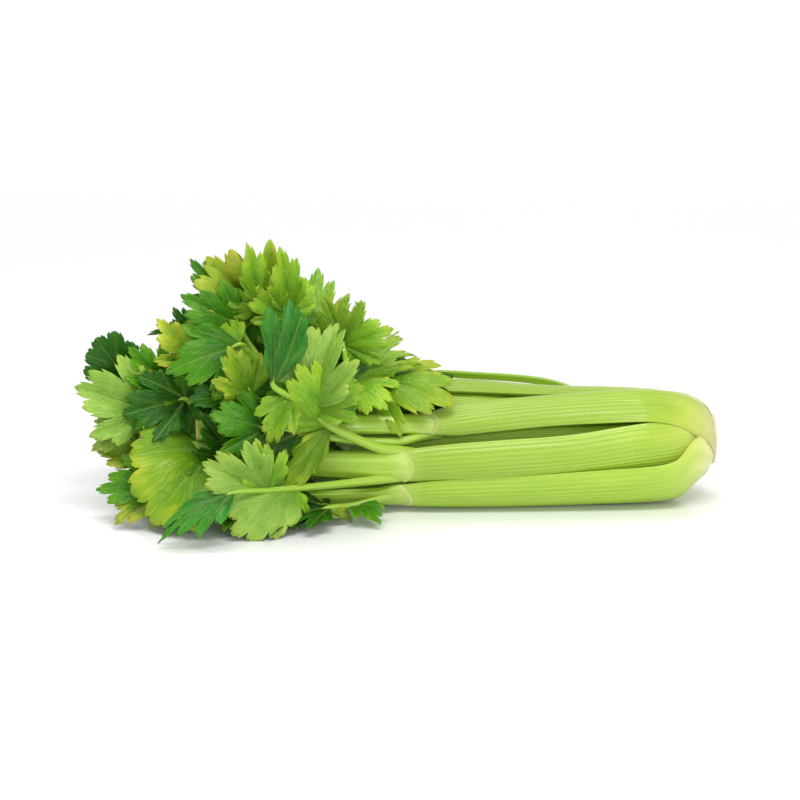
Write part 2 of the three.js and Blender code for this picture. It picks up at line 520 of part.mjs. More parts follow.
// A leaflet as a lobed blade, bent from base to tip, folded along its middle and waved at its edge.
function leafletSolid(base, [, , tip, face, wide, bend, fold, kind], seed, grow) {
  const draw = draws(seed);
  const edge = edgeOf(kind, draw);
  const phase = 2 * Math.PI * draw();
  const along = unit(sum(tip, base, -1));
  const up = away(face, along);
  const across = cross(up, along);
  const chord = Math.sqrt(dot(sum(tip, base, -1), sum(tip, base, -1)));
  const length = (chord * bend) / 2 / Math.sin(bend / 2);
  const radius = length / bend;

  // The point of the blade at so far across and along it, on its upper or lower side.
  const place = (u, v, side) => {
    const angle = v / radius - bend / 2;
    const out = radius * (Math.cos(angle) - Math.cos(bend / 2));
    const forth = radius * (Math.sin(angle) + Math.sin(bend / 2));
    const normal = sum(up.map((value) => value * Math.cos(angle)), along, Math.sin(angle));
    const far = Math.hypot(u, v) / length;
    const wave = RUFFLE * length * far ** 2.5 * Math.sin(WAVES * Math.atan2(u, v) + phase);
    const slope = fold * (Math.hypot(u, CREASE) - CREASE) - (CUP * u * u) / length;
    const height = slope + wave + side * (BLADE_THICKNESS / 2 + grow);
    const middle = sum(sum(sum(base, along, forth), up, out), across, u);
    return sum(middle, normal, height);
  };
  const flat = edge.map(([angle, far]) => [
    length * far * Math.sin(angle) * wide, length * far * Math.cos(angle)]);
  const [start, ...rim] = grownOutline([[0, 0], ...flat], grow);

  // Each face fans out from the base to a few inner points, and from those to the lobed edge.
  const points = [1, -1].flatMap((side) => [
    place(...start, side),
    ...INNER_AT.map((i) => place(...rim[i].map((value) => value * INNER_REACH), side)),
    ...rim.map((point) => place(...point, side)),
  ]);
  const half = points.length / 2;
  const inner = (k) => 1 + k;
  const outer = (i) => 1 + INNER_AT.length + i;
  const last = INNER_AT.length - 1;
  const upper = [];
  for (let k = 0; k < last; k++) {
    const middle = Math.round((INNER_AT[k] + INNER_AT[k + 1]) / 2);
    upper.push([0, inner(k), inner(k + 1)], [inner(k), outer(middle), inner(k + 1)]);
    for (let i = INNER_AT[k]; i < INNER_AT[k + 1]; i++) {
      upper.push([inner(i < middle ? k : k + 1), outer(i), outer(i + 1)]);
    }
  }
  const outline = [0, inner(0), ...edge.map((_, i) => outer(i)), inner(last)];
  const sides = outline.flatMap((a, i) => {
    const b = outline[(i + 1) % outline.length];
    return [[a, a + half, b + half], [a, b + half, b]];
  });
  const lower = upper.map(([a, b, c]) => [a + half, c + half, b + half]);
  return solidFrom(points, [...upper, ...lower, ...sides]);
}

// A whole leaf: its rachis and side stems, and the leaflets on them.
function leafSolid({ stems, leaflets }, turn, seed, grow = 0) {
  const outward = [0, -Math.cos(degrees(turn)), Math.sin(degrees(turn))];
  const pieces = stems.map((stem, i) => (i
    ? stemSolid(stem, SIDE_STEM_SIDES, STEM_FACING, 1, grow)
    : stemSolid(stem, RACHIS_SIDES, outward, RACHIS_FLAT, grow)));
  leaflets.forEach((leaflet, i) => {
    const base = stems[leaflet[0]][leaflet[1]].slice(0, 3);
    pieces.push(leafletSolid(base, leaflet, seed + i, grow));
  });
  return wasm.Manifold.union(pieces);
}

// ---------------------------------------------------------------- the head

function buttSolid(grow = 0) {
  const profile = BUTT.map(([x, radius]) => new THREE.Vector2(radius ? radius + grow : 0, x));
  const lathe = new THREE.LatheGeometry(profile, BUTT_SIDES);
  return solid(lathe.rotateZ(-Math.PI / 2).translate(0, 0, AXIS_HEIGHT));
}

const head = new THREE.Group();
head.position.y = AXIS_SIDE;

// Each piece is cut clear of the table and of the pieces before it, so that none overlap.
const table = new THREE.BoxGeometry(...TABLE).translate(0, 0, -TABLE[2] / 2);
let taken = solid(table);

function addPiece(name, colour, made, grown) {
  const piece = biggest(made.subtract(taken));
  taken = taken.add(grown);
  const { vertProperties, triVerts } = piece.getMesh();
  const geometry = new THREE.BufferGeometry();
  geometry.setAttribute("position", new THREE.BufferAttribute(vertProperties, 3));
  geometry.setIndex(new THREE.BufferAttribute(triVerts, 1));
  geometry.computeVertexNormals();
  const material = new THREE.MeshStandardMaterial({ color: colour, roughness: 0.45, metalness: 0 });
  const mesh = new THREE.Mesh(geometry, material);
  mesh.name = name;
  head.add(mesh);
}

addPiece("butt", COLOURS.butt, buttSolid(), buttSolid(GAP));
for (const stalk of STALKS) {
  addPiece(`stalk_${stalk.name}`, COLOURS.stalk, stalkSolid(stalk), stalkSolid(stalk, GAP));
}
LEAVES.forEach((leaf, i) => {
  const { body } = STALKS.find(({ name }) => name === leaf.name);
  const turn = body[body.length - 1][2];
  const seed = (i + 1) * 20;
  addPiece(`leaf_${leaf.name}`, COLOURS.leaf, leafSolid(leaf, turn, seed),
    leafSolid(leaf, turn, seed, GAP));
});

export default head;
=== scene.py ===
import math

import bpy
import numpy as np
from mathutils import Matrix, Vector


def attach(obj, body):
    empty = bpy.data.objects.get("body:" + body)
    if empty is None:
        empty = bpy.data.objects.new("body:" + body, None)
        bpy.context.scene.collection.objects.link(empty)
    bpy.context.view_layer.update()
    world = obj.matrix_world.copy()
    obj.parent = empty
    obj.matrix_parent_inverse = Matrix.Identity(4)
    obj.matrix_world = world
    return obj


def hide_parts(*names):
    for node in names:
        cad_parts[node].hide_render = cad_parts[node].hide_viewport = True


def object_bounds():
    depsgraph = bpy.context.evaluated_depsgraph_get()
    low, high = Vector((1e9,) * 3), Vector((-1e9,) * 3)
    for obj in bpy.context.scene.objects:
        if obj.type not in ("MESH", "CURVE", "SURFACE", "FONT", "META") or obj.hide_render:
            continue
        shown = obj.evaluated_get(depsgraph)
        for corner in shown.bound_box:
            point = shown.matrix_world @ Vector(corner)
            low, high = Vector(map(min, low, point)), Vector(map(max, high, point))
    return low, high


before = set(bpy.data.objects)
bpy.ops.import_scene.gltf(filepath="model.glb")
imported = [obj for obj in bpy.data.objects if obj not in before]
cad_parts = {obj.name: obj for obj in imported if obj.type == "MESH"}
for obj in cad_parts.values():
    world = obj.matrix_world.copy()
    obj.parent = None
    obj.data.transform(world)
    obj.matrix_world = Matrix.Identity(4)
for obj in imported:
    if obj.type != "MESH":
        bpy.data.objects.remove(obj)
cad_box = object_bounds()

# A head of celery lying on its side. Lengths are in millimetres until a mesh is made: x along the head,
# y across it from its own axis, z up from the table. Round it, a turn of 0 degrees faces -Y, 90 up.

MM = 0.001

# The solids' dimensions.
AXIS_HEIGHT = 40.4  # of the head's axis above the table
AXIS_SIDE = 12  # of the head's axis from the middle of its leaves, along Y
BODY_WRAP = math.radians(44)  # that a stalk's section curls each way along its body
NECK_END, NECK_LENGTH = 200, 60  # x where that starts, and how far the change takes
MOST_THICK = 0.6  # of a stalk, as a share of its width
NECK_THICK = 0.8  # of a stalk where it leaves the butt, as a share of its thickness
LEAN_START, LEAN_LENGTH = 196, 8  # x past which a stalk turns outwards over the butt
MOST_ROUND = 0.95  # of the way round the head that a stalk's base may reach, as a sine
HOLLOW = 0.55  # how much thinner a stalk is at its edges, as a share of its thickness
INNER_WHORLS = (1, 2)
INNER_SPREAD = (-9, 2, 6, 5)  # of an inner stalk's width there, over its width at its body's start
RACHIS_FLAT = 0.55  # thickness of a rachis as a share of its width
STEM_FACING = (0.1, 0.2, 1)  # the way that the upper side of a side stem looks
RUFFLE, WAVES = 0.035, 7  # of a leaflet's edge, as a share of its length, and how many in one turn
CUP = 0.1  # how much a leaflet's sides curl back
CREASE = 2  # radius of the fold along a leaflet's middle
TIP_TURN = 5  # degrees between the furthest places that a lobe's tip is drawn from
TIP_REACH = (0.93, 1.05)  # the least and most that its reach is drawn from

# The stalks' finer form.
STALK_STEPS = 120
OUTER_POINTS, INNER_POINTS = 61, 22  # across a stalk's ribbed outer face and its smooth inner one
RIBS, RIB_DEPTH = 11, 0.4
RIB_AT_BUTT = 0.35  # of that depth
RIB_END = (1, 9)  # how far from the node they begin, and are whole
RIB_WIDTHS = (14, 30)  # of a stalk whose ribs are half as deep, and whole
COLLAR_RISE, COLLAR_AT, COLLAR_SPREAD = 0.05, 1.6, 1.5  # the collar's height, place and half length
END_ROUND, END_LENGTH = 0.3, 1.4  # how much its very end closes, and over what length
NODE_BOW, BOW_LENGTH = 0.62, 14  # how far its end's edges stand out, for half its width
STALK_LOWEST = 0.02

# The stems' finer form. A tube's points around, length of a step, ribs, depth of them for a radius of
# 1, and roundness.
RACHIS_TUBE = (44, 1.8, 9, 0.02, 0.8)
STEM_TUBE = (16, 2.5, 5, 0.03, 1)
SUNK_IN = (4, 2.7, 1.3)  # how far inside its stalk a rachis's first rings are
SNUG = 0.985  # size of a rachis's start, as a share of its stalk's end
NODE_BLEND = (2, 26)  # along a rachis, where its section becomes its own
BOW_BLEND = (4, 22)  # and where it loses its stalk's bow
GROOVE, GROOVE_SPREAD = 0.28, 0.45
NODE_REACH = 14  # side stems that start so near the node are led into it
ROOT_ASIDE, ROOT_BACK, ROOT_SUNK, FIRST_SUNK = 0.75, 9, 5, 2.2  # where they are led to
MIDRIB_LENGTH, MIDRIB_RADIUS, MIDRIB_SUNK = 9, 0.5, 1.6  # of a stem's end, within its leaflet

# The leaflets' finer form. What grows with a leaflet is for a length of 1.
BLADE_THICKNESS = 0.5
FINE, SMALL = (9, 9), (6, 5)  # rings, and points from a tip to a notch, of a leaflet and a companion
RING_SPREAD = 0.85
TOOTH = 0.05
ARCH = 0.06  # of a blade between two main veins
CURL, LOBE_SPREAD = 0.09, 0.2  # of a lobe, and its half width as an angle
CRINKLE = 0.45
SMALL_RUFFLE, SMALL_WAVES = 0.01, 19
MAIN_POINTS = (0, 3, 7, 11, 14)  # the corners and main tips among an edge's points
# Each vein: its tip, the tip of the main vein it leaves, and how far up that one it does.
VEINS = ((1, 1, 0), (3, 3, 0), (5, 5, 0), (0, 1, 0.32), (2, 3, 0.36), (4, 3, 0.36), (6, 5, 0.32))
MAIN_VEIN, SIDE_VEIN = (0.02, 1), (0.014, 0.7)  # width and depth
VEIN_SUNK, VEIN_RAISED = 0.3, 0.7
LOWEST = 0.25

# A leaflet's companions at its foot.
KIN_ANGLE, KIN_REACH, KIN_SINK = (46, 64), (0.52, 0.68), (0.14, 0.24)
KIN_TILT, KIN_WIDE, KIN_BEND = 0.35, 0.85, (0.3, 0.7)
KIN_LOWEST, KIN_MARGINS = 4, (3, 4)  # within the solids' box
BARE_FROM, BARE_BEFORE, BARE_UNDER = -64, -20, 78  # x, y and z of the bare stems in front

BUTT_STEPS, BUTT_AROUND, BUTT_END = 60, 96, 214

# The seeds of the stalks, of a leaf's leaflets for each leaf, and of their companions' places and forms.
STALK_SEEDS, LEAF_SEEDS, KIN_SEEDS, SMALL_SEEDS = 500, 20, 900, 3000

# The floor, the lights and the camera, in metres and degrees.
FLOOR = 40  # half its size
WALLS, CEILING = 1.45, 0.5  # how bright the studio is
KEY = dict(energy=1.15, softness=35, rotation=(-18, -12, 0))
# Each strip of light: width, height, energy, place and turn.
STRIPS = {
    "strip": (0.8, 0.2, 5.5, (0.1, -0.42, 0.9), (25, 0, 0)),
    "front": (0.45, 0.014, 1.7, (0.3, -0.9, 0.42), (68, 0, 12)),
}
LENS, SENSOR = 85, 36
VIEW_DISTANCE, VIEW_ANGLE, VIEW_HEIGHT = 1.284, 15, 0.068

# Each tone of leaflet: its deep colour, its light one, and how far its edges have yellowed.
TONES = {
    "g": ("#287000", "#56a404", 0.12),
    "d": ("#0e4200", "#2a7004", 0.0),
    "b": ("#1d6a1c", "#45a02a", 0.0),
    "y": ("#8ab818", "#c6dc3c", 0.8),
    "p": ("#74a830", "#aad258", 0.2),
    "o": ("#56900a", "#94be20", 0.45),
    "l": ("#6ab00a", "#a8d834", 0.25),
}
# The tones of a leaflet's companions, by its own.
KIN = {"g": "gdl", "d": "dgg", "b": "bdg", "y": "lgo", "p": "lgp", "o": "gol", "l": "gll"}
# Painted light and shade on the stalks in front, where 1 is the paint's own colour: darker on the better
# lit ones, lighter on the one that faces the floor; and the others' random tone.
PAINTED_LIGHT_AND_SHADE = {"01": 0.84, "02": 0.9, "03": 1.03, "04": 0.78}
STALK_SHADES = (0.96, 1.02)

# Where the stalks of each whorl leave the butt: x, radius, width and twist.
WHORLS = [
    [[208.5, 17.5, 28, -10], [204.5, 22.5, 32, -4], [196.5, 26.5, 36, 0], [184, 28.8, 38, 0]],
    [[200, 10, 12.5, 0], [196, 14.5, 20, 0], [189, 18, 25, 0], [178, 20.5, 26, 0]],
    [[194, 3.8, 5, 0], [190, 5.2, 8, 0], [184, 6.5, 11, 0], [176, 7.5, 14, 0]],
    [[205, 12, 18, 4], [202, 19.5, 24, 6], [195, 26.3, 27, 7], [181, 30.5, 29, 2]],
    [[208.5, 17.5, 31, -31], [204.5, 22.5, 33, -14], [196.5, 27, 36.4, -4], [184, 30.4, 34, 1]],
    [[208.5, 16.5, 29.5, -17], [204.5, 22, 38, -3], [196.5, 29.3, 47, 10], [184, 38.1, 42, 2]],
    [[208.5, 17.5, 30, -17], [204.5, 22.5, 36, -3], [196.5, 28, 42, 4], [184, 33.5, 41, 2]],
]

# A stalk's whorl, turn and thickness, and its stations from base to node: x, radius, turn and width.
STALKS = {
    "01": (4, 60, 9.5, [
        [160, 36, 55.5, 29], [105, 37.4, 47.5, 24.5], [60, 39, 39.5, 23.5], [36, 38, 35, 21.5],
        [21, 36, 32.5, 14.5]]),
    "02": (3, 10, 9.5, [
        [160, 36, 8.8, 29.5], [115, 40.5, 1, 27.5], [60, 44.5, -3, 27.5], [20, 44.5, -6, 25.5],
        [3, 44, -8, 22]]),
    "03": (5, -36, 9.5, [
        [160, 41.6, -36.5, 40], [100, 44.5, -38, 36.5], [50, 46, -38.5, 34], [18, 46.5, -38, 29],
        [2, 46, -39, 23]]),
    "04": (0, 120, 9.5, [
        [160, 30.8, 114, 34], [100, 32, 105, 31], [50, 36, 96, 29], [8, 37.5, 90, 22]]),
    "05": (1, 150, 5, [
        [160, 26, 150, 12], [135, 34.5, 150, 10], [100, 47.5, 140, 9], [22, 49.2, 128, 8.5]]),
    "06": (6, 186, 9.5, [
        [160, 36.5, 186, 37], [100, 35, 186, 31], [50, 36, 184, 26], [12, 38, 182, 21]]),
    "07": (6, 258, 9.5, [
        [160, 36.5, 258, 36], [100, 36.3, 258, 30], [50, 35.5, 258, 26], [8, 33, 256, 20]]),
    "08": (1, 78, 8, [
        [160, 21.5, 78, 24], [100, 24.5, 78, 22], [50, 29.5, 80, 23], [10, 31, 84, 19]]),
    "09": (1, 222, 8, [
        [160, 23, 222, 24], [100, 24.5, 222, 22], [50, 28, 222, 19], [0, 32, 220, 15]]),
    "10": (1, 294, 8, [
        [160, 22.5, 294, 24], [100, 22, 298, 21], [50, 20.5, 302, 18], [-6, 19, 305, 14]]),
    "11": (2, 20, 7, [
        [160, 14, 22, 18], [100, 18, 22, 18], [50, 19, 18, 17], [-10, 18, 14, 15]]),
    "12": (2, 185, 7, [
        [160, 6.5, 185, 16], [100, 7, 180, 16], [50, 9, 170, 14], [-16, 11, 160, 11]]),
}

# The butt from its inner tip round its rim to the middle of its cut face: x, radius.
BUTT = [[186, 0], [196, 8], [205, 12], [209.5, 15], [212, 16.8], [213.4, 16.6], [214.2, 15], [214.2, 0]]

# The lobes of each kind of leaflet: angles and reaches of its tips, depths of the notches between them,
# and angle and reach of the corner beside the stem.
KINDS = {
    "fan": dict(
        tips=[-62, -42, -16, 0, 16, 42, 62], reach=[0.62, 0.86, 0.86, 1, 0.86, 0.86, 0.62],
        notch=[0.58, 0.46, 0.74, 0.74, 0.46, 0.58], corner=(70, 0.32)),
    "round": dict(
        tips=[-70, -47, -24, 0, 24, 47, 70], reach=[0.7, 0.86, 0.95, 1, 0.95, 0.86, 0.7],
        notch=[0.68, 0.76, 0.86, 0.86, 0.76, 0.68], corner=(86, 0.4)),
    "finger": dict(
        tips=[-56, -37, -18, 0, 18, 37, 56], reach=[0.66, 0.84, 0.93, 1, 0.93, 0.84, 0.66],
        notch=[0.5, 0.46, 0.56, 0.56, 0.46, 0.5], corner=(65, 0.3)),
    "spade": dict(
        tips=[-42, -28, -13, 5, 18, 30, 44], reach=[0.62, 0.84, 1, 0.88, 0.96, 0.84, 0.6],
        notch=[0.7, 0.84, 0.56, 0.84, 0.8, 0.64], corner=(52, 0.32)),
    "long": dict(
        tips=[-34, -24, -12, 0, 12, 24, 34], reach=[0.46, 0.66, 0.86, 1, 0.86, 0.66, 0.46],
        notch=[0.42, 0.6, 0.8, 0.8, 0.6, 0.42], corner=(40, 0.25)),
}

# The leaf past each stalk's first node: its stems, then its leaflets. A stem is a list of x, y, z and
# radius, and the first one is the rachis. A leaflet is the stem and the point that it grows from, its
# tip, the way its upper face looks, its width for a length of 1, its bend in radians, the slope of its
# sides, its kind and its tone.
LEAVES = {}
LEAVES["02"] = [
    [[1, -43.6, 34.3, 10], [-57, -46, 37, 8.8], [-110, -46, 40, 6.6], [-126, -44, 44, 6],
     [-172, -38, 53, 4.6]],
    [[-1, -44.5, 44, 3.6], [-17, -49, 49.5, 3.2], [-45, -57, 65.5, 2.9], [-57, -62, 78, 2.6],
     [-71, -66, 88, 2.3], [-81, -70, 96, 1.9]],
    [[-3, -45, 26, 3], [-46, -62, 27, 2.6], [-70, -75, 29, 2.3], [-85, -82, 30, 2], [-105, -92, 32, 1.6]],
], [
    [1, 5, [-80, -62, 155], [0.7, -1, 0.1], 0.62, 0.44, 0.62, "spade", "b"],
    [1, 4, [-86, -78, 58], [-0.3, -1, 0.1], 0.75, 0.38, 0.36, "fan", "l"],
    [1, 2, [-77, -74, 28], [0.2, -1, 0.2], 0.8, 0.5, -0.3, "long", "o"],
    [1, 2, [-68, -66, 112], [0.2, -1, 0.3], 1, 0.62, -0.36, "fan", "l"],
    [1, 3, [-42, -46, 138], [-0.4, -1, 0.1], 0.8, 0.5, 0.36, "fan", "p"],
    [2, 3, [-128, -94, 54], [0.2, -1, -0.1], 0.95, 0.38, 0.18, "fan", "p"],
    [2, 4, [-150, -112, 5], [-0.5, -0.8, 0.6], 0.46, 0.9, -0.4, "finger", "b"],
    [2, 2, [-106, -96, 6], [-0.1, -1, 0.3], 0.62, 0.75, -0.3, "round", "p"],
    [0, 3, [-158, -82, 8], [-0.2, -1, 0.3], 1, 0.62, 0.3, "round", "o"],
    [0, 2, [-128, -66, 78], [0.1, -1, 0.2], 0.7, 0.5, 0.3, "fan", "d"],
]
LEAVES["05"] = [
    [[21, 30.3, 79.1, 3.8], [-34, 20, 90, 3.7], [-68, 5, 107, 3.2], [-90, -12, 129, 2.6],
     [-91, -26, 138, 2]],
    [[-68, 5, 107, 2.2], [-70, -10, 120, 2], [-74, -24, 132, 1.7]],
    [[-90, -12, 129, 2.1], [-102, -13, 136, 1.9], [-112, -14, 141, 1.6]],
], [
    [0, 3, [-128, -26, 176], [-0.1, -1, 0.2], 1.0, 0.5, 0.36, "fan", "y"],
    [1, 2, [-78, -40, 179], [0.4, -1, 0.1], 1.0, 0.5, 0.3, "long", "l"],
    [0, 4, [-97, -40, 182], [0.2, -1, 0.1], 0.85, 0.38, 0.3, "long", "l"],
    [2, 2, [-138, -20, 168], [-0.2, -1, 0.2], 0.9, 0.5, 0.36, "fan", "g"],
    [0, 1, [-30, 60, 122], [0.3, 0.7, 0.6], 0.9, 0.75, -0.36, "fan", "g"],
    [0, 2, [-58, 40, 152], [0.3, 0.9, 0.4], 0.9, 0.62, -0.18, "fan", "l"],
    [0, 3, [-104, 30, 160], [-0.3, 0.9, 0.5], 0.9, 0.62, -0.18, "fan", "y"],
]
LEAVES["04"] = [
    [[7, 0.5, 78, 7.5], [-32, 5, 83, 6.4], [-60, 14, 88, 5.2], [-95, 22, 94, 3.8], [-125, 26, 98, 2.4]],
    [[2, 4, 77, 3], [-20, -10, 84, 2.6], [-32, -16, 85, 2.4], [-36, -11, 97, 2], [-38, -8, 108, 1.7]],
], [
    [1, 4, [-50, -14, 144], [0, -1, 0.2], 0.9, 0.62, -0.36, "fan", "o"],
    [1, 4, [-4, -14, 122], [0.1, -1, 0.3], 1, 0.62, -0.27, "fan", "l"],
    [1, 2, [16, -10, 96], [0.2, -0.7, 1], 0.45, 0.62, -0.5, "long", "o"],
    [1, 1, [38, -37, 74], [0.3, -0.8, 0.7], 0.85, 0.7, -0.3, "fan", "o"],
    [1, 2, [-8, -49, 71], [0, -1, 0.8], 0.9, 0.8, -0.36, "fan", "l"],
    [0, 0, [34, -22, 69], [0.2, -0.9, 0.5], 0.8, 0.6, 0.18, "fan", "d"],
    [0, 2, [-44, 54, 112], [0.2, 0.7, 0.8], 0.9, 0.62, -0.36, "fan", "g"],
    [0, 1, [2, 44, 104], [0.3, 0.6, 0.9], 0.9, 0.75, -0.36, "fan", "l"],
    [0, 3, [-96, 66, 112], [0, 0.8, 0.8], 0.9, 0.75, -0.36, "fan", "d"],
    [0, 3, [-112, 2, 136], [-0.2, 0.2, 1], 0.9, 0.62, 0.36, "fan", "g"],
    [0, 4, [-174, 38, 104], [-0.1, 0.4, 1], 0.9, 0.7, 0.18, "fan", "d"],
]
LEAVES["01"] = [
    [[19, -30.6, 59.8, 6.4], [-36, -40, 62, 6.6], [-80, -43, 62, 7], [-105, -45, 61, 7],
     [-134, -47, 60, 6.8]],
    [[17, -34, 53.5, 3], [-4, -40, 50, 2.7], [-36, -46, 53.5, 2.5], [-65, -58, 62, 2.2],
     [-87, -64, 66, 1.8]],
    [[-80, -43, 62, 2.4], [-88, -49, 76, 2.1], [-96, -55, 86, 1.7]],
    [[-105, -45, 61, 2.4], [-108, -46, 72, 2.1], [-108, -48, 81, 1.7]],
], [
    [1, 4, [-124, -76, 80], [0.1, -1, 0.5], 1, 0.62, -0.27, "fan", "g"],
    [2, 2, [-112, -62, 122], [0.3, -1, 0.1], 0.8, 0.38, 0.3, "fan", "o"],
    [3, 2, [-140, -60, 84], [0, -0.8, 0.7], 0.9, 0.62, 0.36, "fan", "d"],
    [1, 3, [-100, -78, 50], [-0.1, -1, 0.2], 0.8, 0.5, -0.36, "fan", "d"],
]
LEAVES["08"] = [
    [[8, -3.2, 71, 6.4], [-41, -5, 77, 4.2], [-93, -20, 101, 3.2], [-108, -24, 110, 2.6],
     [-133, -18, 102, 1.8]],
    [[-93, -20, 101, 2.3], [-102, -24, 116, 2], [-107, -26, 127, 1.7]],
    [[-93, -20, 101, 2.3], [-100, -34, 111, 2], [-104, -43, 117, 1.7]],
    [[-108, -24, 110, 2.1], [-122, -14, 112, 1.8], [-133, -6, 109, 1.6]],
], [
    [1, 2, [-142, -34, 148], [-0.2, -1, 0.3], 0.95, 0.5, 0.27, "fan", "g"],
    [2, 2, [-150, -58, 100], [0, -1, 0.5], 1, 0.62, -0.27, "fan", "g"],
    [0, 4, [-160, -26, 130], [-0.2, -1, 0.3], 0.9, 0.5, 0.36, "fan", "y"],
    [3, 2, [-152, -8, 134], [-0.1, -1, 0.2], 0.8, 0.5, 0.36, "fan", "d"],
    [0, 1, [-66, 10, 122], [0.3, 0.2, 1], 0.9, 0.62, 0.18, "fan", "g"],
]
LEAVES["11"] = [
    [[-12, -17.5, 44.8, 4.6], [-70, -20, 50, 3.7], [-125, -30, 54, 3.3], [-150, -33, 62, 3],
     [-166, -33, 69, 2.6]],
    [[-166, -33, 69, 1.9], [-176, -20, 78, 1.8], [-183, -10, 85, 1.6]],
    [[-150, -33, 62, 1.9], [-154, -27, 76, 1.8], [-157, -23, 86, 1.6]],
    [[-125, -30, 54, 2], [-136, -30, 68, 1.8], [-142, -31, 77, 1.6]],
], [
    [1, 2, [-203, -12, 115], [0.1, -1, 0.1], 0.85, 0.38, 0.3, "round", "d"],
    [0, 4, [-216, -44, 88], [0, -1, 0.4], 0.95, 0.5, 0.18, "fan", "p"],
    [2, 2, [-180, -32, 114], [0.2, -1, 0.3], 0.8, 0.38, 0.4, "fan", "g"],
    [3, 2, [-184, -46, 68], [0, -1, 0.4], 0.9, 0.5, 0.36, "fan", "d"],
]
LEAVES["03"] = [
    [[1, -35.8, 11.6, 7.6], [-50, -45, 13, 6.4], [-100, -45, 12, 4.4], [-142, -44, 13, 2.6]],
    [[-3, -41, 12, 2.8], [-30, -52, 10, 2.3], [-46, -60, 11, 1.8]],
    [[-50, -45, 13, 2.4], [-60, -54, 9, 2.1], [-68, -62, 7, 1.8]],
], [
    [1, 2, [-84, -80, 3], [0, -0.3, 1], 0.9, 0.5, 0.18, "fan", "d"],
    [1, 1, [-14, -74, 3], [0.1, -0.3, 1], 0.8, 0.62, 0.18, "fan", "g"],
    [2, 2, [-108, -86, 3], [0, -0.3, 1], 0.8, 0.5, 0.18, "fan", "d"],
    [2, 2, [-30, -60, 4], [0, -0.6, 1], 0.7, 0.62, 0.18, "long", "o"],
    [0, 2, [-150, -88, 4], [0, -0.3, 1], 0.8, 0.5, 0.18, "fan", "g"],
    [0, 3, [-186, -40, 5], [0, -0.3, 1], 0.8, 0.5, 0.18, "fan", "g"],
]
LEAVES["10"] = [
    [[-8, -11, 25, 4.6], [-60, -20, 24, 4], [-120, -32, 25, 3.2], [-155, -48, 20, 2]],
    [[-120, -32, 25, 2.2], [-145, -30, 32, 2], [-159, -33, 36, 1.7]],
    [[-120, -32, 25, 2.2], [-150, -18, 40, 2], [-178, -28, 60, 1.6]],
], [
    [0, 3, [-200, -58, 22], [0, -1, 0.8], 0.9, 0.62, 0.18, "fan", "g"],
    [0, 3, [-186, -74, 3], [0, -0.8, 1], 0.9, 0.62, 0.18, "fan", "y"],
    [1, 2, [-202, -42, 44], [0, -1, 0.4], 0.8, 0.5, 0.36, "fan", "o"],
    [2, 2, [-206, -40, 44], [0, -1, 0.2], 0.8, 0.5, 0.18, "fan", "p"],
]
LEAVES["06"] = [
    [[10, 38, 40, 7.5], [-40, 48, 46, 6.2], [-90, 57, 51, 4.8], [-136, 65, 53, 2.8]],
    [[6, 40, 47, 2.8], [-20, 52, 62, 2.4], [-45, 62, 76, 1.9]],
    [[6, 40, 33, 2.8], [-20, 54, 26, 2.4], [-48, 66, 22, 1.9]],
], [
    [1, 2, [-86, 76, 96], [0, 1, 0.4], 0.95, 0.75, -0.18, "fan", "g"],
    [1, 1, [-14, 68, 98], [0.3, 1, 0.4], 0.9, 0.62, -0.36, "fan", "l"],
    [2, 2, [-92, 90, 8], [0, 1, 0.6], 0.95, 0.75, -0.18, "fan", "y"],
    [2, 1, [4, 86, 6], [0.2, 0.8, 0.8], 0.9, 0.75, -0.18, "fan", "g"],
    [0, 2, [-112, 74, 94], [0, 1, 0.2], 0.9, 0.62, 0.36, "fan", "d"],
    [0, 2, [-128, 90, 26], [0, 1, 0.4], 0.9, 0.75, -0.18, "fan", "l"],
    [0, 3, [-184, 70, 66], [-0.2, 1, 0.3], 0.9, 0.6, 0.2, "fan", "g"],
]
LEAVES["12"] = [
    [[-18, 10, 45, 4], [-70, 14, 53, 3.4], [-124, 17, 61, 2.8], [-161, 19, 62, 2]],
], [
    [0, 1, [-92, 34, 86], [0, 0.6, 0.8], 0.9, 0.62, 0.18, "fan", "g"],
    [0, 2, [-150, 30, 100], [0, 0.7, 0.5], 0.9, 0.62, 0.18, "fan", "l"],
    [0, 2, [-164, 44, 66], [0, 0.8, 0.5], 0.9, 0.62, 0.18, "fan", "d"],
    [0, 3, [-207, 14, 64], [-0.2, 0.2, 1], 0.9, 0.62, 0.18, "fan", "y"],
    [0, 2, [-160, 0, 34], [0, -0.5, 0.8], 0.9, 0.62, 0.18, "fan", "d"],
]
LEAVES["09"] = [
    [[-2, 24.5, 20, 5], [-50, 34, 25, 4.2], [-100, 44, 30, 3.2], [-140, 50, 32, 2.2]],
], [
    [0, 1, [-84, 28, 56], [0, 0.5, 1], 0.9, 0.62, 0.18, "fan", "d"],
    [0, 2, [-134, 78, 14], [0, 0.8, 0.8], 0.9, 0.62, -0.18, "fan", "g"],
    [0, 2, [-138, 34, 66], [0, 0.6, 0.8], 0.9, 0.62, 0.18, "fan", "d"],
    [0, 3, [-190, 52, 30], [-0.1, 0.6, 0.8], 0.9, 0.62, 0.18, "fan", "g"],
]
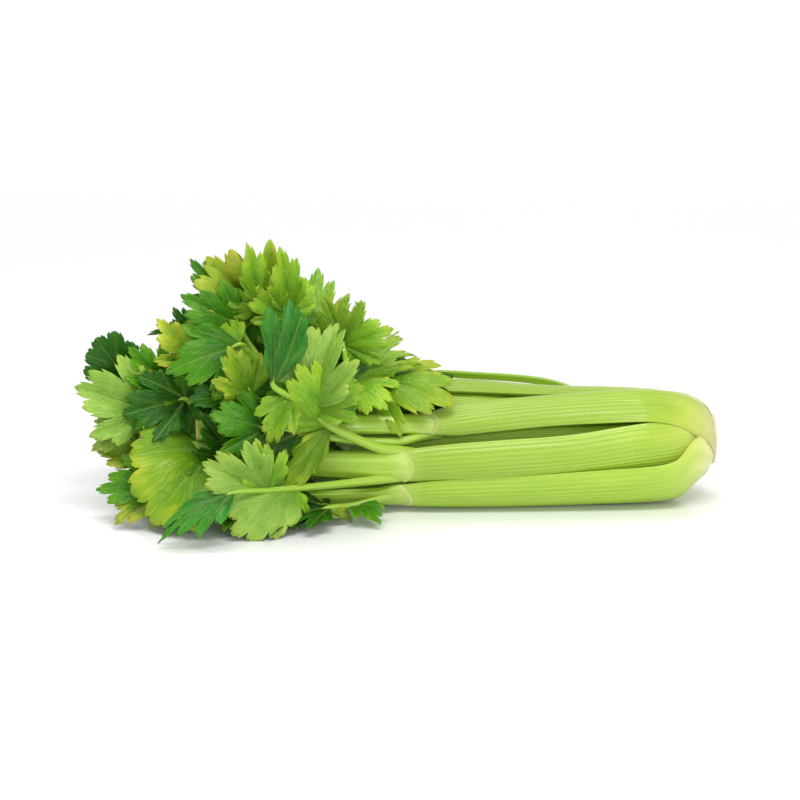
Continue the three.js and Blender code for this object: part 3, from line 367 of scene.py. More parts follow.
LEAVES["07"] = [
    [[6, 8, 9, 7.2], [-40, 10, 12, 6], [-90, 14, 12, 4.6], [-135, 16, 12, 2.8]],
    [[2, 4, 9, 2.8], [-25, -8, 8, 2.3], [-50, -16, 8, 1.8]],
    [[2, 12, 9, 2.8], [-25, 28, 8, 2.3], [-48, 38, 8, 1.8]],
], [
    [1, 2, [-92, -24, 5], [0, 0, 1], 0.8, 0.5, 0.18, "fan", "d"],
    [2, 2, [-88, 62, 4], [0, 0.2, 1], 0.9, 0.5, 0.18, "fan", "g"],
    [2, 1, [-2, 58, 4], [0, 0.2, 1], 0.9, 0.5, 0.18, "fan", "d"],
    [0, 2, [-122, -18, 6], [0, 0, 1], 0.8, 0.5, 0.18, "fan", "g"],
    [0, 2, [-122, 48, 6], [0, 0.2, 1], 0.8, 0.5, 0.18, "fan", "d"],
    [0, 3, [-182, 10, 7], [0, 0, 1], 0.9, 0.5, 0.18, "fan", "g"],
]

# The leaves whose rachis was cut across, and the kinds of leaflet that have no companions.
CUT_SHORT = ("01", "02")
ALONE = ("spade", "finger")
# How blunt the lobes of each kind of leaflet are.
BLUNT = {"fan": 2.3, "round": 3, "finger": 3, "spade": 2.8, "long": 2}
# A small leaflet deep between the stalks, which only shows through the gaps in front of it.
HEART = {"08": [[0, 0, [46, 4, 60], [0.2, -1, 0.3], 0.9, 0.5, 0.3, "fan", "d"]]}


# ---- small tools

def unit(v):
    return v / np.maximum(np.linalg.norm(v, axis=-1, keepdims=True), 1e-9)


def away(facing, along):
    """The part of a direction that is square to another one."""
    facing = np.broadcast_to(np.asarray(facing, float), np.shape(along))
    return unit(facing - (facing * along).sum(-1, keepdims=True) * along)


def draws(seed):
    """A repeatable run of draws between 0 and 1, the same as in the solids."""
    state = seed * 7919 + 104729
    while True:
        state = state * 16807 % 2147483647
        yield state / 2147483647


def between(span, draw):
    """The next draw, taken between two ends."""
    low, high = span
    return low + (high - low) * next(draw)


def smooth(low, high, value):
    """0 below low, 1 above high, and a smooth step between them."""
    t = np.clip((value - low) / (high - low), 0, 1)
    return t * t * (3 - 2 * t)


def spline(rows, count):
    """Rows along a smooth curve through the given rows, every column alike."""
    rows = np.array(rows, float)
    rows = np.vstack([2 * rows[0] - rows[1], rows, 2 * rows[-1] - rows[-2]])
    spans = len(rows) - 3
    t = np.linspace(0, spans, count)
    i = np.minimum(t.astype(int), spans - 1)
    f = (t - i)[:, None]
    a, b, c, d = (rows[i + k] for k in range(4))
    return 0.5 * (2 * b + (c - a) * f + (2 * a - 5 * b + 4 * c - d) * f ** 2
                  + (3 * b - a - 3 * c + d) * f ** 3)


def lengths(points):
    """How far along a path each of its points is."""
    return np.concatenate([[0], np.cumsum(np.linalg.norm(np.diff(points, axis=0), axis=1))])


class Skin:
    """Points in the head's own frame, their faces, and the marks that a material reads at them."""

    def __init__(self):
        self.points, self.faces, self.paints, self.marks, self.count = [], [], [], {}, 0

    def add(self, points, faces, paint=0, **marks):
        points = np.asarray(points, float)
        self.faces += [tuple(corner + self.count for corner in face) for face in faces]
        self.paints += [paint] * len(faces)
        self.points.append(points)
        for name in {**self.marks, **marks}:
            if name not in self.marks:
                self.marks[name] = [np.zeros(self.count)] if self.count else []
            self.marks[name].append(np.broadcast_to(marks.get(name, 0.0), len(points)))
        self.count += len(points)

    def piece(self, name, materials, node, slot):
        """The finished object, which stands for a CAD node."""
        mesh = bpy.data.meshes.new(name)
        points = (np.vstack(self.points) + [0, AXIS_SIDE, 0]) * MM
        mesh.from_pydata(points.tolist(), [], self.faces)
        for mark, values in self.marks.items():
            layer = mesh.attributes.new(mark, "FLOAT", "POINT")
            layer.data.foreach_set("value", np.concatenate(values).astype(np.float32))
        for material in materials:
            mesh.materials.append(material)
        mesh.polygons.foreach_set("material_index", self.paints)
        mesh.polygons.foreach_set("use_smooth", [True] * len(self.faces))
        mesh.update()
        piece = placed(name, mesh)
        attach(piece, "root")
        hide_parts(node)


def placed(name, data, location=(0, 0, 0), rotation=(0, 0, 0)):
    """A new object in the scene, turned by so many degrees about each axis."""
    thing = bpy.data.objects.new(name, data)
    thing.location = location
    thing.rotation_euler = [math.radians(angle) for angle in rotation]
    bpy.context.scene.collection.objects.link(thing)
    return thing


def tube_faces(rings, around):
    """The sides and both end caps of a skin over rings of points."""
    faces = []
    for i in range(rings - 1):
        for j in range(around):
            a, b = i * around + j, i * around + (j + 1) % around
            faces.append((a, b, b + around, a + around))
    last = (rings - 1) * around
    return faces + [tuple(range(around - 1, -1, -1)), tuple(range(last, last + around))]


def add_tube(skin, rings, path, lowest, **marks):
    """A skin over rings, with each one's place along its path, and marks that all rings share."""
    rings = np.array(rings)
    steps, around = rings.shape[:2]
    rings[..., 2] = np.maximum(rings[..., 2], lowest)
    marks = {name: np.tile(mark, steps) if np.ndim(mark) else mark for name, mark in marks.items()}
    skin.add(rings.reshape(-1, 3), tube_faces(steps, around), path=np.repeat(path, around),
             left=np.repeat(path[-1] - path, around), **marks)


# ---- stalks

def stalk_rows(stalk):
    """A stalk's stations as x, y, z, the outward y and z, and width."""
    stations = []
    whorl, base_turn, _, body = stalk
    for i, (x, radius, width, twist) in enumerate(WHORLS[whorl]):
        if whorl in INNER_WHORLS:
            width = min(width, body[0][3] + INNER_SPREAD[i])
        stations.append([x, radius, base_turn + twist, width])
    rows = []
    for x, radius, turn, width in stations + body:
        side, up = math.cos(math.radians(turn)), math.sin(math.radians(turn))
        rows.append([x, -radius * side, AXIS_HEIGHT + radius * up, -side, up, width])
    return rows


def wall(s, thick):
    """How thick a stalk is across its width, from -1 to 1. Its edges are thinner, and round."""
    return thick * (1 - HOLLOW * s ** 2) * np.sqrt(1 - np.minimum(s ** 8, 1))


def rib_heights(draw):
    """How high the outer face stands across a stalk, from -1 in a furrow to 1 on a rib."""
    s = np.linspace(-1, 1, OUTER_POINTS)
    sway = 0.5 * next(draw) * np.sin(2.5 * s + 6.3 * next(draw))
    turn = math.pi * (RIBS / 2 * s + sway)
    size = 0.75 + 0.25 * np.sin(3.1 * s + 6.3 * next(draw))
    return size * (2 * np.abs(np.cos(turn)) ** 0.8 - 1)


def curled_ring(middle, across, outward, s, height, width, thick):
    """A stalk's section curled up across its own width, as it is along its body."""
    curl = width / 2 / math.sin(BODY_WRAP)
    far = curl + height - thick / 2
    return (middle + np.outer(np.sin(s * BODY_WRAP) * far, across)
            + np.outer(np.cos(s * BODY_WRAP) * far + thick / 2 - curl, outward))


def bent_ring(middle, outward, s, height, width, thick):
    """The same section bent round the head's axis, as it is at the butt."""
    x, y, z = middle
    from_axis = np.hypot(y, z - AXIS_HEIGHT)
    turn = math.atan2(z - AXIS_HEIGHT, -y)
    round_head = math.asin(min(width / 2 / (from_axis + thick / 2), MOST_ROUND))
    radial = from_axis + height * (outward @ [0, -math.cos(turn), math.sin(turn)])
    return np.stack([x + height * outward[0], -radial * np.cos(turn + s * round_head),
                     AXIS_HEIGHT + radial * np.sin(turn + s * round_head)], 1)


def make_stalk(name, stalk, seed):
    """A stalk from the butt to its node, ribbed outside and smooth inside."""
    most_thick = stalk[2]
    draw = draws(seed)
    ribs = rib_heights(draw)
    rows = spline(stalk_rows(stalk), STALK_STEPS)
    points, x = rows[:, :3], rows[:, 0]
    along = unit(np.gradient(points, axis=0))
    lean = np.clip((x - LEAN_START) / LEAN_LENGTH, 0, 1)[:, None]
    outward = away(np.hstack([lean, rows[:, 3:5] * (1 - lean)]), along)
    across = np.cross(along, outward)
    path = lengths(points)
    left = path[-1] - path
    outer = np.linspace(-1, 1, OUTER_POINTS)
    inner = np.linspace(1, -1, INNER_POINTS + 2)[1:-1]
    s = np.concatenate([outer, inner])
    rings = []
    for k in range(STALK_STEPS):
        grown = np.clip((NECK_END - x[k]) / NECK_LENGTH, 0, 1)
        width = rows[k, 5]
        thick = min(most_thick * (NECK_THICK + (1 - NECK_THICK) * grown), MOST_THICK * width)
        # The ribs run together at the node, where the stalk closes in a low round collar.
        collar = (1 + COLLAR_RISE * math.exp(-((left[k] - COLLAR_AT) / COLLAR_SPREAD) ** 2)
                  - END_ROUND * (1 - smooth(0, END_LENGTH, left[k])) ** 2)
        rib = (RIB_DEPTH * (RIB_AT_BUTT + (1 - RIB_AT_BUTT) * grown) * smooth(*RIB_END, left[k])
               * (0.5 + 0.5 * smooth(*RIB_WIDTHS, width)))
        skin_height = thick * collar / 2 + ribs * rib * (1 - outer ** 4)
        height = np.concatenate([skin_height, thick * collar / 2 - wall(inner, thick * collar)])
        curled = curled_ring(points[k], across[k], outward[k], s, height, width * collar, thick * collar)
        bent = bent_ring(points[k], outward[k], s, height, width, thick)
        bow = NODE_BOW * width / 2 * (s ** 2 - 0.5) * (1 - smooth(0, BOW_LENGTH, left[k]))
        rings.append(grown * curled + (1 - grown) * bent + np.outer(bow, along[k]))
    skin = Skin()
    # The shade mark holds painted light and shade for the four stalks in front, and a random tone for the
    # others.
    add_tube(
        skin, rings, path, STALK_LOWEST, side=s,
        inner=np.repeat([0.0, 1.0], [OUTER_POINTS, INNER_POINTS]),
        rib=np.concatenate([ribs, np.zeros(INNER_POINTS)]),
        shade=PAINTED_LIGHT_AND_SHADE.get(name, between(STALK_SHADES, draw)), seed=seed)
    skin.piece(f"fine_stalk_{name}", [STALK_PAINT], f"stalk_{name}", "stalk")


# ---- leaflets

def edge_of(kind, draw):
    """A leaflet's edge as angle and reach, from one corner round its lobes to the other."""
    form = KINDS[kind]
    lobes = []
    for angle, reach in zip(form["tips"], form["reach"]):
        lobes.append((angle + TIP_TURN * (next(draw) - 0.5), reach * between(TIP_REACH, draw)))
    edge = [(-form["corner"][0], form["corner"][1])]
    for i, (angle, reach) in enumerate(lobes):
        edge.append((angle, reach))
        if i < len(form["notch"]):
            edge.append(((angle + lobes[i + 1][0]) / 2, form["notch"][i]))
    edge.append(form["corner"])
    return [(math.radians(angle), reach) for angle, reach in edge]


def toothed(edge, points, blunt):
    """The same edge with rounded flanks, each broken by a smaller tooth."""
    t = np.linspace(0, 1, points + 1)
    tooth = np.where(t < 0.5, np.clip(t / 0.45, 0, 1), np.clip((t - 0.5) / 0.5, 0, 1)) ** (1 / blunt)
    rise = 0.78 * (1 - (1 - t) ** ((1 + blunt) / 2)) + 0.22 * tooth
    bite = TOOTH * (tooth - t)
    angles, reaches = [], []
    for i, ((a, r), (b, q)) in enumerate(zip(edge, edge[1:])):
        way = -1 if i % 2 else 1  # up to a tip, or back down to a notch
        low, high = (r, q)[::way]
        angles.append((a + (b - a) * t)[:-1])
        reaches.append((low + (high - low) * rise[::way] + bite[::way])[:-1])
    angles.append([edge[-1][0]])
    reaches.append([edge[-1][1]])
    return np.concatenate(angles), np.concatenate(reaches)


def flat_blade(edge, kind, wide, detail):
    """A leaflet laid flat, as rings of points round its base: how far across and along each is, for a
    length of 1, its ring from 0 to 1, and how many points a ring has."""
    rings, points = detail
    angle, reach = toothed(edge, points, BLUNT[kind])
    shares = (np.arange(1, rings + 1) / rings) ** RING_SPREAD
    far, turn = np.outer(shares, reach).ravel(), np.tile(angle, rings)
    u = np.concatenate([[0], far * np.sin(turn) * wide])
    v = np.concatenate([[0], far * np.cos(turn)])
    return u, v, np.concatenate([[0], np.repeat(shares, len(angle))]), len(angle)


def near_segment(u, v, start, end):
    """How far points are from a segment, and how far along it."""
    run = np.subtract(end, start)
    size = math.hypot(*run)
    along = ((u - start[0]) * run[0] + (v - start[1]) * run[1]) / size
    across = ((u - start[0]) * run[1] - (v - start[1]) * run[0]) / size
    beyond = np.maximum(np.maximum(-along, along - size), 0)
    return np.hypot(across, beyond), along


def vein_depths(u, v, edge, wide):
    """How deep in a vein each point is, from 0 to 1. Every vein narrows on its way."""
    tips = [(r * math.sin(a) * wide, r * math.cos(a)) for a, r in edge[1::2]]
    depth = np.zeros(len(u))
    for tip, parent, share in VEINS:
        width, most = SIDE_VEIN if share else MAIN_VEIN
        start, end = [way * share for way in tips[parent]], tips[tip]
        off, down = near_segment(u, v, start, end)
        width = width * np.clip(1.25 - down / math.dist(start, end), 0.35, 1)
        depth = np.maximum(depth, np.exp(-(off / width) ** 2) * most)
    return depth


def blade_heights(u, v, edge, leaflet, length, phase, draw):
    """How far each point of a blade stands above its bent middle face."""
    wide, fold = leaflet[4], leaflet[6]
    distance, turned, angle = np.hypot(u, v), np.arctan2(u, v), np.arctan2(u / wide, v)
    # It arches up between its three main veins, and each lobe curls its own way.
    mains = np.array([edge[i][0] for i in MAIN_POINTS])
    gap = np.clip(np.searchsorted(mains, angle) - 1, 0, len(mains) - 2)
    low, high = mains[gap], mains[gap + 1]
    arch = np.sin(math.pi * np.clip((angle - low) / (high - low), 0, 1))
    height = ARCH * length * arch * smooth(0, 0.6, distance)
    for tip, _ in edge[1::2]:
        curl = CURL * (2 * next(draw) - 1.2)
        height += curl * length * np.exp(-((angle - tip) / LOBE_SPREAD) ** 2) * distance ** 4
    # Fine crinkles lie all over it, and two sets of waves ruffle its edge.
    crinkle = np.sin(38 * distance + 3 * np.sin(9 * turned + phase)) * np.sin(23 * turned)
    height += CRINKLE * crinkle * smooth(0.1, 0.4, distance)
    height += RUFFLE * length * distance ** 2.5 * np.sin(WAVES * turned + phase)
    height += SMALL_RUFFLE * length * distance ** 3 * np.sin(SMALL_WAVES * turned + 2 * phase)
    side = u * length
    return height + fold * (np.sqrt(side ** 2 + CREASE ** 2) - CREASE) - CUP * side ** 2 / length


def blade_faces(rings, lines, count):
    """The faces of a blade's upper side, of its lower one and of the rim between them."""
    upper = []
    for i in range(lines - 1):
        upper.append((0, 2 + i, 1 + i))
        for k in range(rings - 1):
            a = 1 + k * lines + i
            upper.append((a, a + 1, a + lines + 1, a + lines))
    lower = [tuple(count + corner for corner in face[::-1]) for face in upper]
    rim = [0] + [1 + k * lines for k in range(rings)]
    rim += [1 + (rings - 1) * lines + i for i in range(1, lines)]
    rim += [lines + k * lines for k in range(rings - 2, -1, -1)]
    return upper + lower + [(b, b + count, a + count, a) for a, b in zip(rim, rim[1:] + rim[:1])]


def axes_of(base, leaflet):
    """How far a leaflet's tip is from its base, and the ways along it, up from it and across it."""
    reach = np.array(leaflet[2], float) - base
    along = unit(reach)
    up = away(leaflet[3], along)
    return np.linalg.norm(reach), along, up, np.cross(up, along)


def make_blade(skin, base, leaflet, seed, paint, detail=FINE):
    """A leaflet as a lobed blade, bent from base to tip, folded along its middle and waved at its edge."""
    wide, bend, _, kind, _ = leaflet[4:]
    draw = draws(seed)
    edge = edge_of(kind, draw)
    phase = 2 * math.pi * next(draw)
    chord, along, up, across = axes_of(base, leaflet)
    length = chord * bend / 2 / math.sin(bend / 2)
    radius = length / bend

    u, v, ring, lines = flat_blade(edge, kind, wide, detail)
    vein = vein_depths(u, v, edge, wide)
    height = blade_heights(u, v, edge, leaflet, length, phase, draw)
    bow = v * length / radius - bend / 2
    out = radius * (np.cos(bow) - math.cos(bend / 2))
    forth = radius * (np.sin(bow) + math.sin(bend / 2))
    normal = np.outer(np.cos(bow), up) + np.outer(np.sin(bow), along)
    middle = base + np.outer(forth, along) + np.outer(out, up) + np.outer(u * length, across)

    # Veins sink into the upper face and stand out of the lower one.
    half = BLADE_THICKNESS * (1 - 0.5 * ring) / 2
    upper = middle + normal * (height + half - VEIN_SUNK * vein)[:, None]
    lower = middle + normal * (height - half - VEIN_RAISED * vein * (1 - 0.6 * ring))[:, None]
    upper[:, 2] = np.maximum(upper[:, 2], LOWEST + BLADE_THICKNESS)
    lower[:, 2] = np.maximum(lower[:, 2], LOWEST)
    marks = dict(vein=vein, ring=ring, turn=np.arctan2(u, v), reach=np.hypot(u, v), flat_u=u, flat_v=v)
    skin.add(
        np.vstack([upper, lower]), blade_faces(detail[0], lines, len(u)), paint,
        under=np.repeat([0.0, 1.0], len(u)), shade=next(draw), seed=seed,
        **{name: np.tile(mark, 2) for name, mark in marks.items()})


def companions(base, leaflet, draw):
    """The two smaller leaflets at a leaflet's foot, as in a leaf of three. The kinds in ALONE have none,
    none hangs over the bare stems in front, and none leaves the solids' box."""
    fold, kind, tone = leaflet[6:]
    if kind in ALONE:
        return
    length, along, up, across = axes_of(base, leaflet)
    low, high = np.array(cad_box) / MM - [0, AXIS_SIDE, 0]
    for side in (-1, 1):
        angle = side * math.radians(between(KIN_ANGLE, draw))
        reach = length * between(KIN_REACH, draw)
        sink = length * between(KIN_SINK, draw)
        end = base + reach * (math.cos(angle) * along + math.sin(angle) * across) - sink * up
        end[2] = max(end[2], KIN_LOWEST)
        bare = end[0] > BARE_FROM and end[1] < BARE_BEFORE and end[2] < BARE_UNDER
        inside = (end > low + KIN_MARGINS[0]).all() and (end < high - KIN_MARGINS[1]).all()
        if inside and not bare:
            tilt = up + KIN_TILT * side * across * next(draw)
            other = KIN[tone][int(next(draw) * len(KIN[tone]))]
            yield [0, 0, end, tilt, KIN_WIDE, between(KIN_BEND, draw), fold / 2, "fan", other]


# ---- leaves

def from_node(stem, rachis, outward):
    """A side stem that leaves the node is led back into it, in line with the rachis."""
    start, first = np.array(rachis[0][:3], float), np.array(stem[0][:3], float)
    gap = np.linalg.norm(first - start)
    if gap > NODE_REACH:
        return stem
    back = unit(start - np.array(rachis[1][:3], float))
    root = start + ROOT_ASIDE * away(first - start, back) * gap + ROOT_BACK * back - ROOT_SUNK * outward
    return [[*root, stem[0][3]], [*(first - FIRST_SUNK * outward), stem[0][3] * 1.1]] + stem[1:]


def run_out(stem, place, leaflets):
    """A stem led on into the midrib of the leaflet at its end."""
    end = np.array(stem[-1][:3], float)
    way, sink = unit(end - np.array(stem[-2][:3], float)), 0
    for leaflet in leaflets:
        if leaflet[:2] == [place, len(stem) - 1]:
            _, along, up, _ = axes_of(end, leaflet)
            way = along * math.cos(leaflet[5] / 2) + up * math.sin(leaflet[5] / 2)
            sink = MIDRIB_SUNK * up
            break
    return stem + [[*(end + MIDRIB_LENGTH * way - sink), MIDRIB_RADIUS]]


def stalk_end(turn, width, thick):
    """A stalk's end as a rachis starts: how far across, outwards and forth the points of a ring are."""
    s = np.cos(turn)
    curl = width / 2 / math.sin(BODY_WRAP)
    arc = np.sqrt(curl ** 2 - (s * width / 2) ** 2) + thick / 2 - curl
    tall = np.where(np.sin(turn) > 0, arc, arc - wall(s, thick))
    return SNUG * s * width / 2, SNUG * tall, NODE_BOW * width / 2 * (s ** 2 - 0.5)


def make_stem(skin, stem, facing, flat, seed, end=None):
    """A stem as a tube flattened towards one way. A rachis is given the width and thickness of its
    stalk's end and starts with them, and has a shallow groove inside."""
    around, step, ribs, depth, square = RACHIS_TUBE if end else STEM_TUBE
    size = sum(math.dist(a[:3], b[:3]) for a, b in zip(stem, stem[1:]))
    rows = spline(stem, max(12, int(size / step)))
    if end:
        back = unit(rows[0] - rows[1]) * [1, 1, 1, 0]
        rows = np.vstack([rows[0] + np.outer(SUNK_IN, back), rows])
    points = rows[:, :3]
    along = unit(np.gradient(points, axis=0))
    outward = away(facing, along)
    across = np.cross(outward, along)
    path = lengths(points)
    turn = np.linspace(0, 2 * math.pi, around, endpoint=False)
    circle = np.stack([np.cos(turn), np.sin(turn)])
    side, high = np.sign(circle) * np.abs(circle) ** square
    if end:
        high = high + GROOVE * np.exp(-((turn - 1.5 * math.pi) / GROOVE_SPREAD) ** 2)
    rings = []
    for k, radius in enumerate(rows[:, 3]):
        scale = radius * (1 + depth * np.cos(ribs * turn))
        wide, tall, forth = scale * side, scale * flat * high, np.zeros(around)
        if end:
            own = smooth(*NODE_BLEND, path[k])
            end_wide, end_tall, bow = stalk_end(turn, *end)
            wide, tall = own * wide + (1 - own) * end_wide, own * tall + (1 - own) * end_tall
            forth = bow * (1 - smooth(*BOW_BLEND, path[k]))
        rings.append(points[k] + np.outer(wide, across[k]) + np.outer(tall, outward[k])
                     + np.outer(forth, along[k]))
    add_tube(skin, rings, path, LOWEST, side=np.cos(turn), rib=np.cos(9 * turn),
             start=1.0 if end else 0.0, shade=0.97 + 0.08 * (seed % 7) / 7, seed=seed)


def make_leaf(name, leaf, number):
    """A leaf as two pieces: its stems, and its leaflets with their companions."""
    _, _, thick, body = STALKS[name]
    _, _, turn, width = body[-1]
    turn = math.radians(turn)
    outward = np.array([0, -math.cos(turn), math.sin(turn)])
    seed = number * LEAF_SEEDS
    stems, leaflets = leaf
    rachis = stems[0]
    if name not in CUT_SHORT:
        rachis = run_out(rachis, 0, leaflets)
    skin = Skin()
    make_stem(skin, rachis, outward, RACHIS_FLAT, seed, (width, min(thick, MOST_THICK * width)))
    for i, stem in enumerate(stems[1:], 1):
        stem = run_out(stem, i, leaflets)
        make_stem(skin, from_node(stem, rachis, outward), STEM_FACING, 1, seed + i)
    skin.piece(f"fine_stems_{name}", [STEM_PAINT], f"leaf_{name}", "stalk")
    blades = Skin()
    tones = list(TONES)
    for i, leaflet in enumerate(leaflets + HEART.get(name, []), seed):
        base = np.array(stems[leaflet[0]][leaflet[1]][:3], float)
        make_blade(blades, base, leaflet, i, tones.index(leaflet[-1]))
        for j, small in enumerate(companions(base, leaflet, draws(KIN_SEEDS + i)), SMALL_SEEDS + 2 * i):
            make_blade(blades, base, small, j, tones.index(small[-1]), SMALL)
    blades.piece(f"fine_blades_{name}", BLADE_PAINTS, f"leaf_{name}", "leaf")


# ---- the butt

def make_butt():
    """The cut base, turned round the head's axis, a little lumpy, and flat where it was cut."""
    rows = spline([[x, max(radius, 0.05)] for x, radius in BUTT], BUTT_STEPS)
    turn = np.linspace(0, 2 * math.pi, BUTT_AROUND, endpoint=False)
    lumps = 1 + 0.03 * np.sin(5 * turn) + 0.015 * np.sin(11 * turn + 1)
    rings = []
    for x, radius in rows:
        lumpy = max(radius, 0.02) * lumps
        rings.append(np.stack([np.full(BUTT_AROUND, min(x, BUTT_END)), lumpy * np.cos(turn),
                               AXIS_HEIGHT + lumpy * np.sin(turn)], 1))
    skin = Skin()
    skin.add(np.vstack(rings), tube_faces(BUTT_STEPS, BUTT_AROUND),
             reach=np.repeat(np.maximum(rows[:, 1], 0), BUTT_AROUND))
    skin.piece("fine_butt", [BUTT_PAINT], "butt", "butt")


# ---- materials

def rgb(code):
    """A hex colour as the linear colour that a shader takes."""
    values = [int(code[i:i + 2], 16) / 255 for i in (1, 3, 5)]
    return [v / 12.92 if v <= 0.04045 else ((v + 0.055) / 1.055) ** 2.4 for v in values] + [1]


class Paint:
    """The nodes of a material or of the world, and the few kinds that they are made of."""

    def __init__(self, owner):
        owner.use_nodes = True
        self.owner, self.nodes, self.links = owner, owner.node_tree.nodes, owner.node_tree.links

    def put(self, node, values):
        """Feeds a node's sockets, by place or name, from other nodes or with constants."""
        for socket, value in values.items():
            if isinstance(value, bpy.types.NodeSocket):
                self.links.new(value, node.inputs[socket])
            else:
                node.inputs[socket].default_value = value

    def add(self, kind, values=None, **settings):
        node = self.nodes.new("ShaderNode" + kind)
        for name, value in settings.items():
            setattr(node, name, value)
        self.put(node, values or {})
        return node

    def set(self, **values):
        """Feeds the sockets of a material's shader, and gives the material."""
        values = {name.replace("_", " "): value for name, value in values.items()}
        self.put(self.nodes["Principled BSDF"], values)
        return self.owner

    def mark(self, name):
        return self.add("Attribute", attribute_name=name).outputs["Fac"]

    def place(self):
        return self.add("TexCoord").outputs["Object"]

    def math(self, kind, a, b=0.0):
        return self.add("Math", {0: a, 1: b}, operation=kind).outputs[0]

    def times(self, a, b):
        return self.math("MULTIPLY", a, b)

    def plus(self, a, b):
        return self.math("ADD", a, b)

    def remap(self, value, low, high, to_low=0.0, to_high=1.0):
        return self.add("MapRange", {"Value": value, "From Min": low, "From Max": high,
                                     "To Min": to_low, "To Max": to_high}).outputs[0]

    def mix(self, share, a, b, kind="MIX"):
        # A mix node has its colours as its inputs 6 and 7 and its output 2.
        return self.add("Mix", {0: share, 6: a, 7: b}, data_type="RGBA", blend_type=kind).outputs[2]

    def tint(self, colour, value, low, high, most, code):
        """A colour with another mixed in: none where the value is low, the most where it is high."""
        return self.mix(self.remap(value, low, high, 0.0, most), colour, rgb(code))

    def join(self, x, y, z):
        return self.add("CombineXYZ", {0: x, 1: y, 2: z}).outputs[0]

    def noise(self, where, scale, detail, rough):
        values = {"Vector": where, "Scale": scale, "Detail": detail, "Roughness": rough}
        return self.add("TexNoise", values).outputs["Fac"]

    def ramp(self, value, *stops):
        node = self.add("ValToRGB", {0: value})
        points = node.color_ramp.elements
        while len(points) < len(stops):
            points.new(1.0)
        for point, (place, code) in zip(points, stops):
            point.position = place
            point.color = rgb(code)
        return node.outputs[0]

    def bump(self, height, strength, distance):
        return self.add("Bump", {"Strength": strength, "Distance": distance, "Height": height}).outputs[0]


def blade_paint(tone):
    deep, light, yellowed = TONES[tone]
    p = Paint(bpy.data.materials.new(f"leaf_{tone}"))
    ring, seed = p.mark("ring"), p.mark("seed")
    where = p.join(p.mark("flat_u"), p.mark("flat_v"), seed)
    cloud = p.noise(where, 2.5, 3.0, 0.55)
    fleck = p.noise(where, 18.0, 4.0, 0.6)

    # The blade is deepest at its foot. Fine veins fan out from there and fork on the way.
    colour = p.mix(p.remap(p.plus(p.times(ring, 0.5), cloud), 0.55, 1.05), rgb(deep), rgb(light))
    colour = p.tint(colour, fleck, 0.35, 0.75, 0.24, light)
    fan = p.noise(p.join(p.times(p.mark("turn"), 3.0), p.times(p.mark("reach"), 1.1), seed), 4.0, 2.0, 0.45)
    ridge = p.math("ABSOLUTE", p.math("SUBTRACT", fan, 0.5))
    fork = p.remap(ridge, 0.0, 0.02, 1.0, 0.0)
    veined = p.math("MAXIMUM", p.mark("vein"), p.times(fork, 0.5))
    colour = p.mix(p.times(veined, 0.36), colour, rgb("#a9cf58"))

    # Yellowing starts at the edge and creeps in between the veins.
    patchy = p.plus(p.times(cloud, 0.6), p.times(fan, 0.4))
    creep = p.plus(p.math("POWER", ring, 3.0), p.remap(patchy, 0.36, 0.64, -0.6, 0.5))
    colour = p.tint(colour, creep, 0.55, 1.15, yellowed, "#e2d848")
    colour = p.mix(p.times(p.mark("under"), 0.4), colour, rgb("#84b04e"))
    shade = p.remap(p.mark("shade"), 0.0, 1.0, 0.8, 1.14)
    colour = p.mix(1.0, colour, p.join(shade, shade, shade), "MULTIPLY")

    height = p.plus(p.remap(ridge, 0.0, 0.07, 0.0, 0.6), p.times(fleck, 0.5))
    relief = p.bump(height, 0.8, 0.0006)
    # Some light comes through the blade.
    glow = p.add("BsdfTranslucent", {"Color": p.mix(0.5, colour, rgb("#8ec80c")), "Normal": relief})
    both = p.add("MixShader", {0: 0.3, 1: p.nodes["Principled BSDF"].outputs[0], 2: glow.outputs[0]})
    p.put(p.nodes["Material Output"], {0: both.outputs[0]})
    return p.set(Base_Color=colour, Roughness=p.remap(fleck, 0.2, 0.8, 0.26, 0.42), Normal=relief,
                 Specular_IOR_Level=0.35)


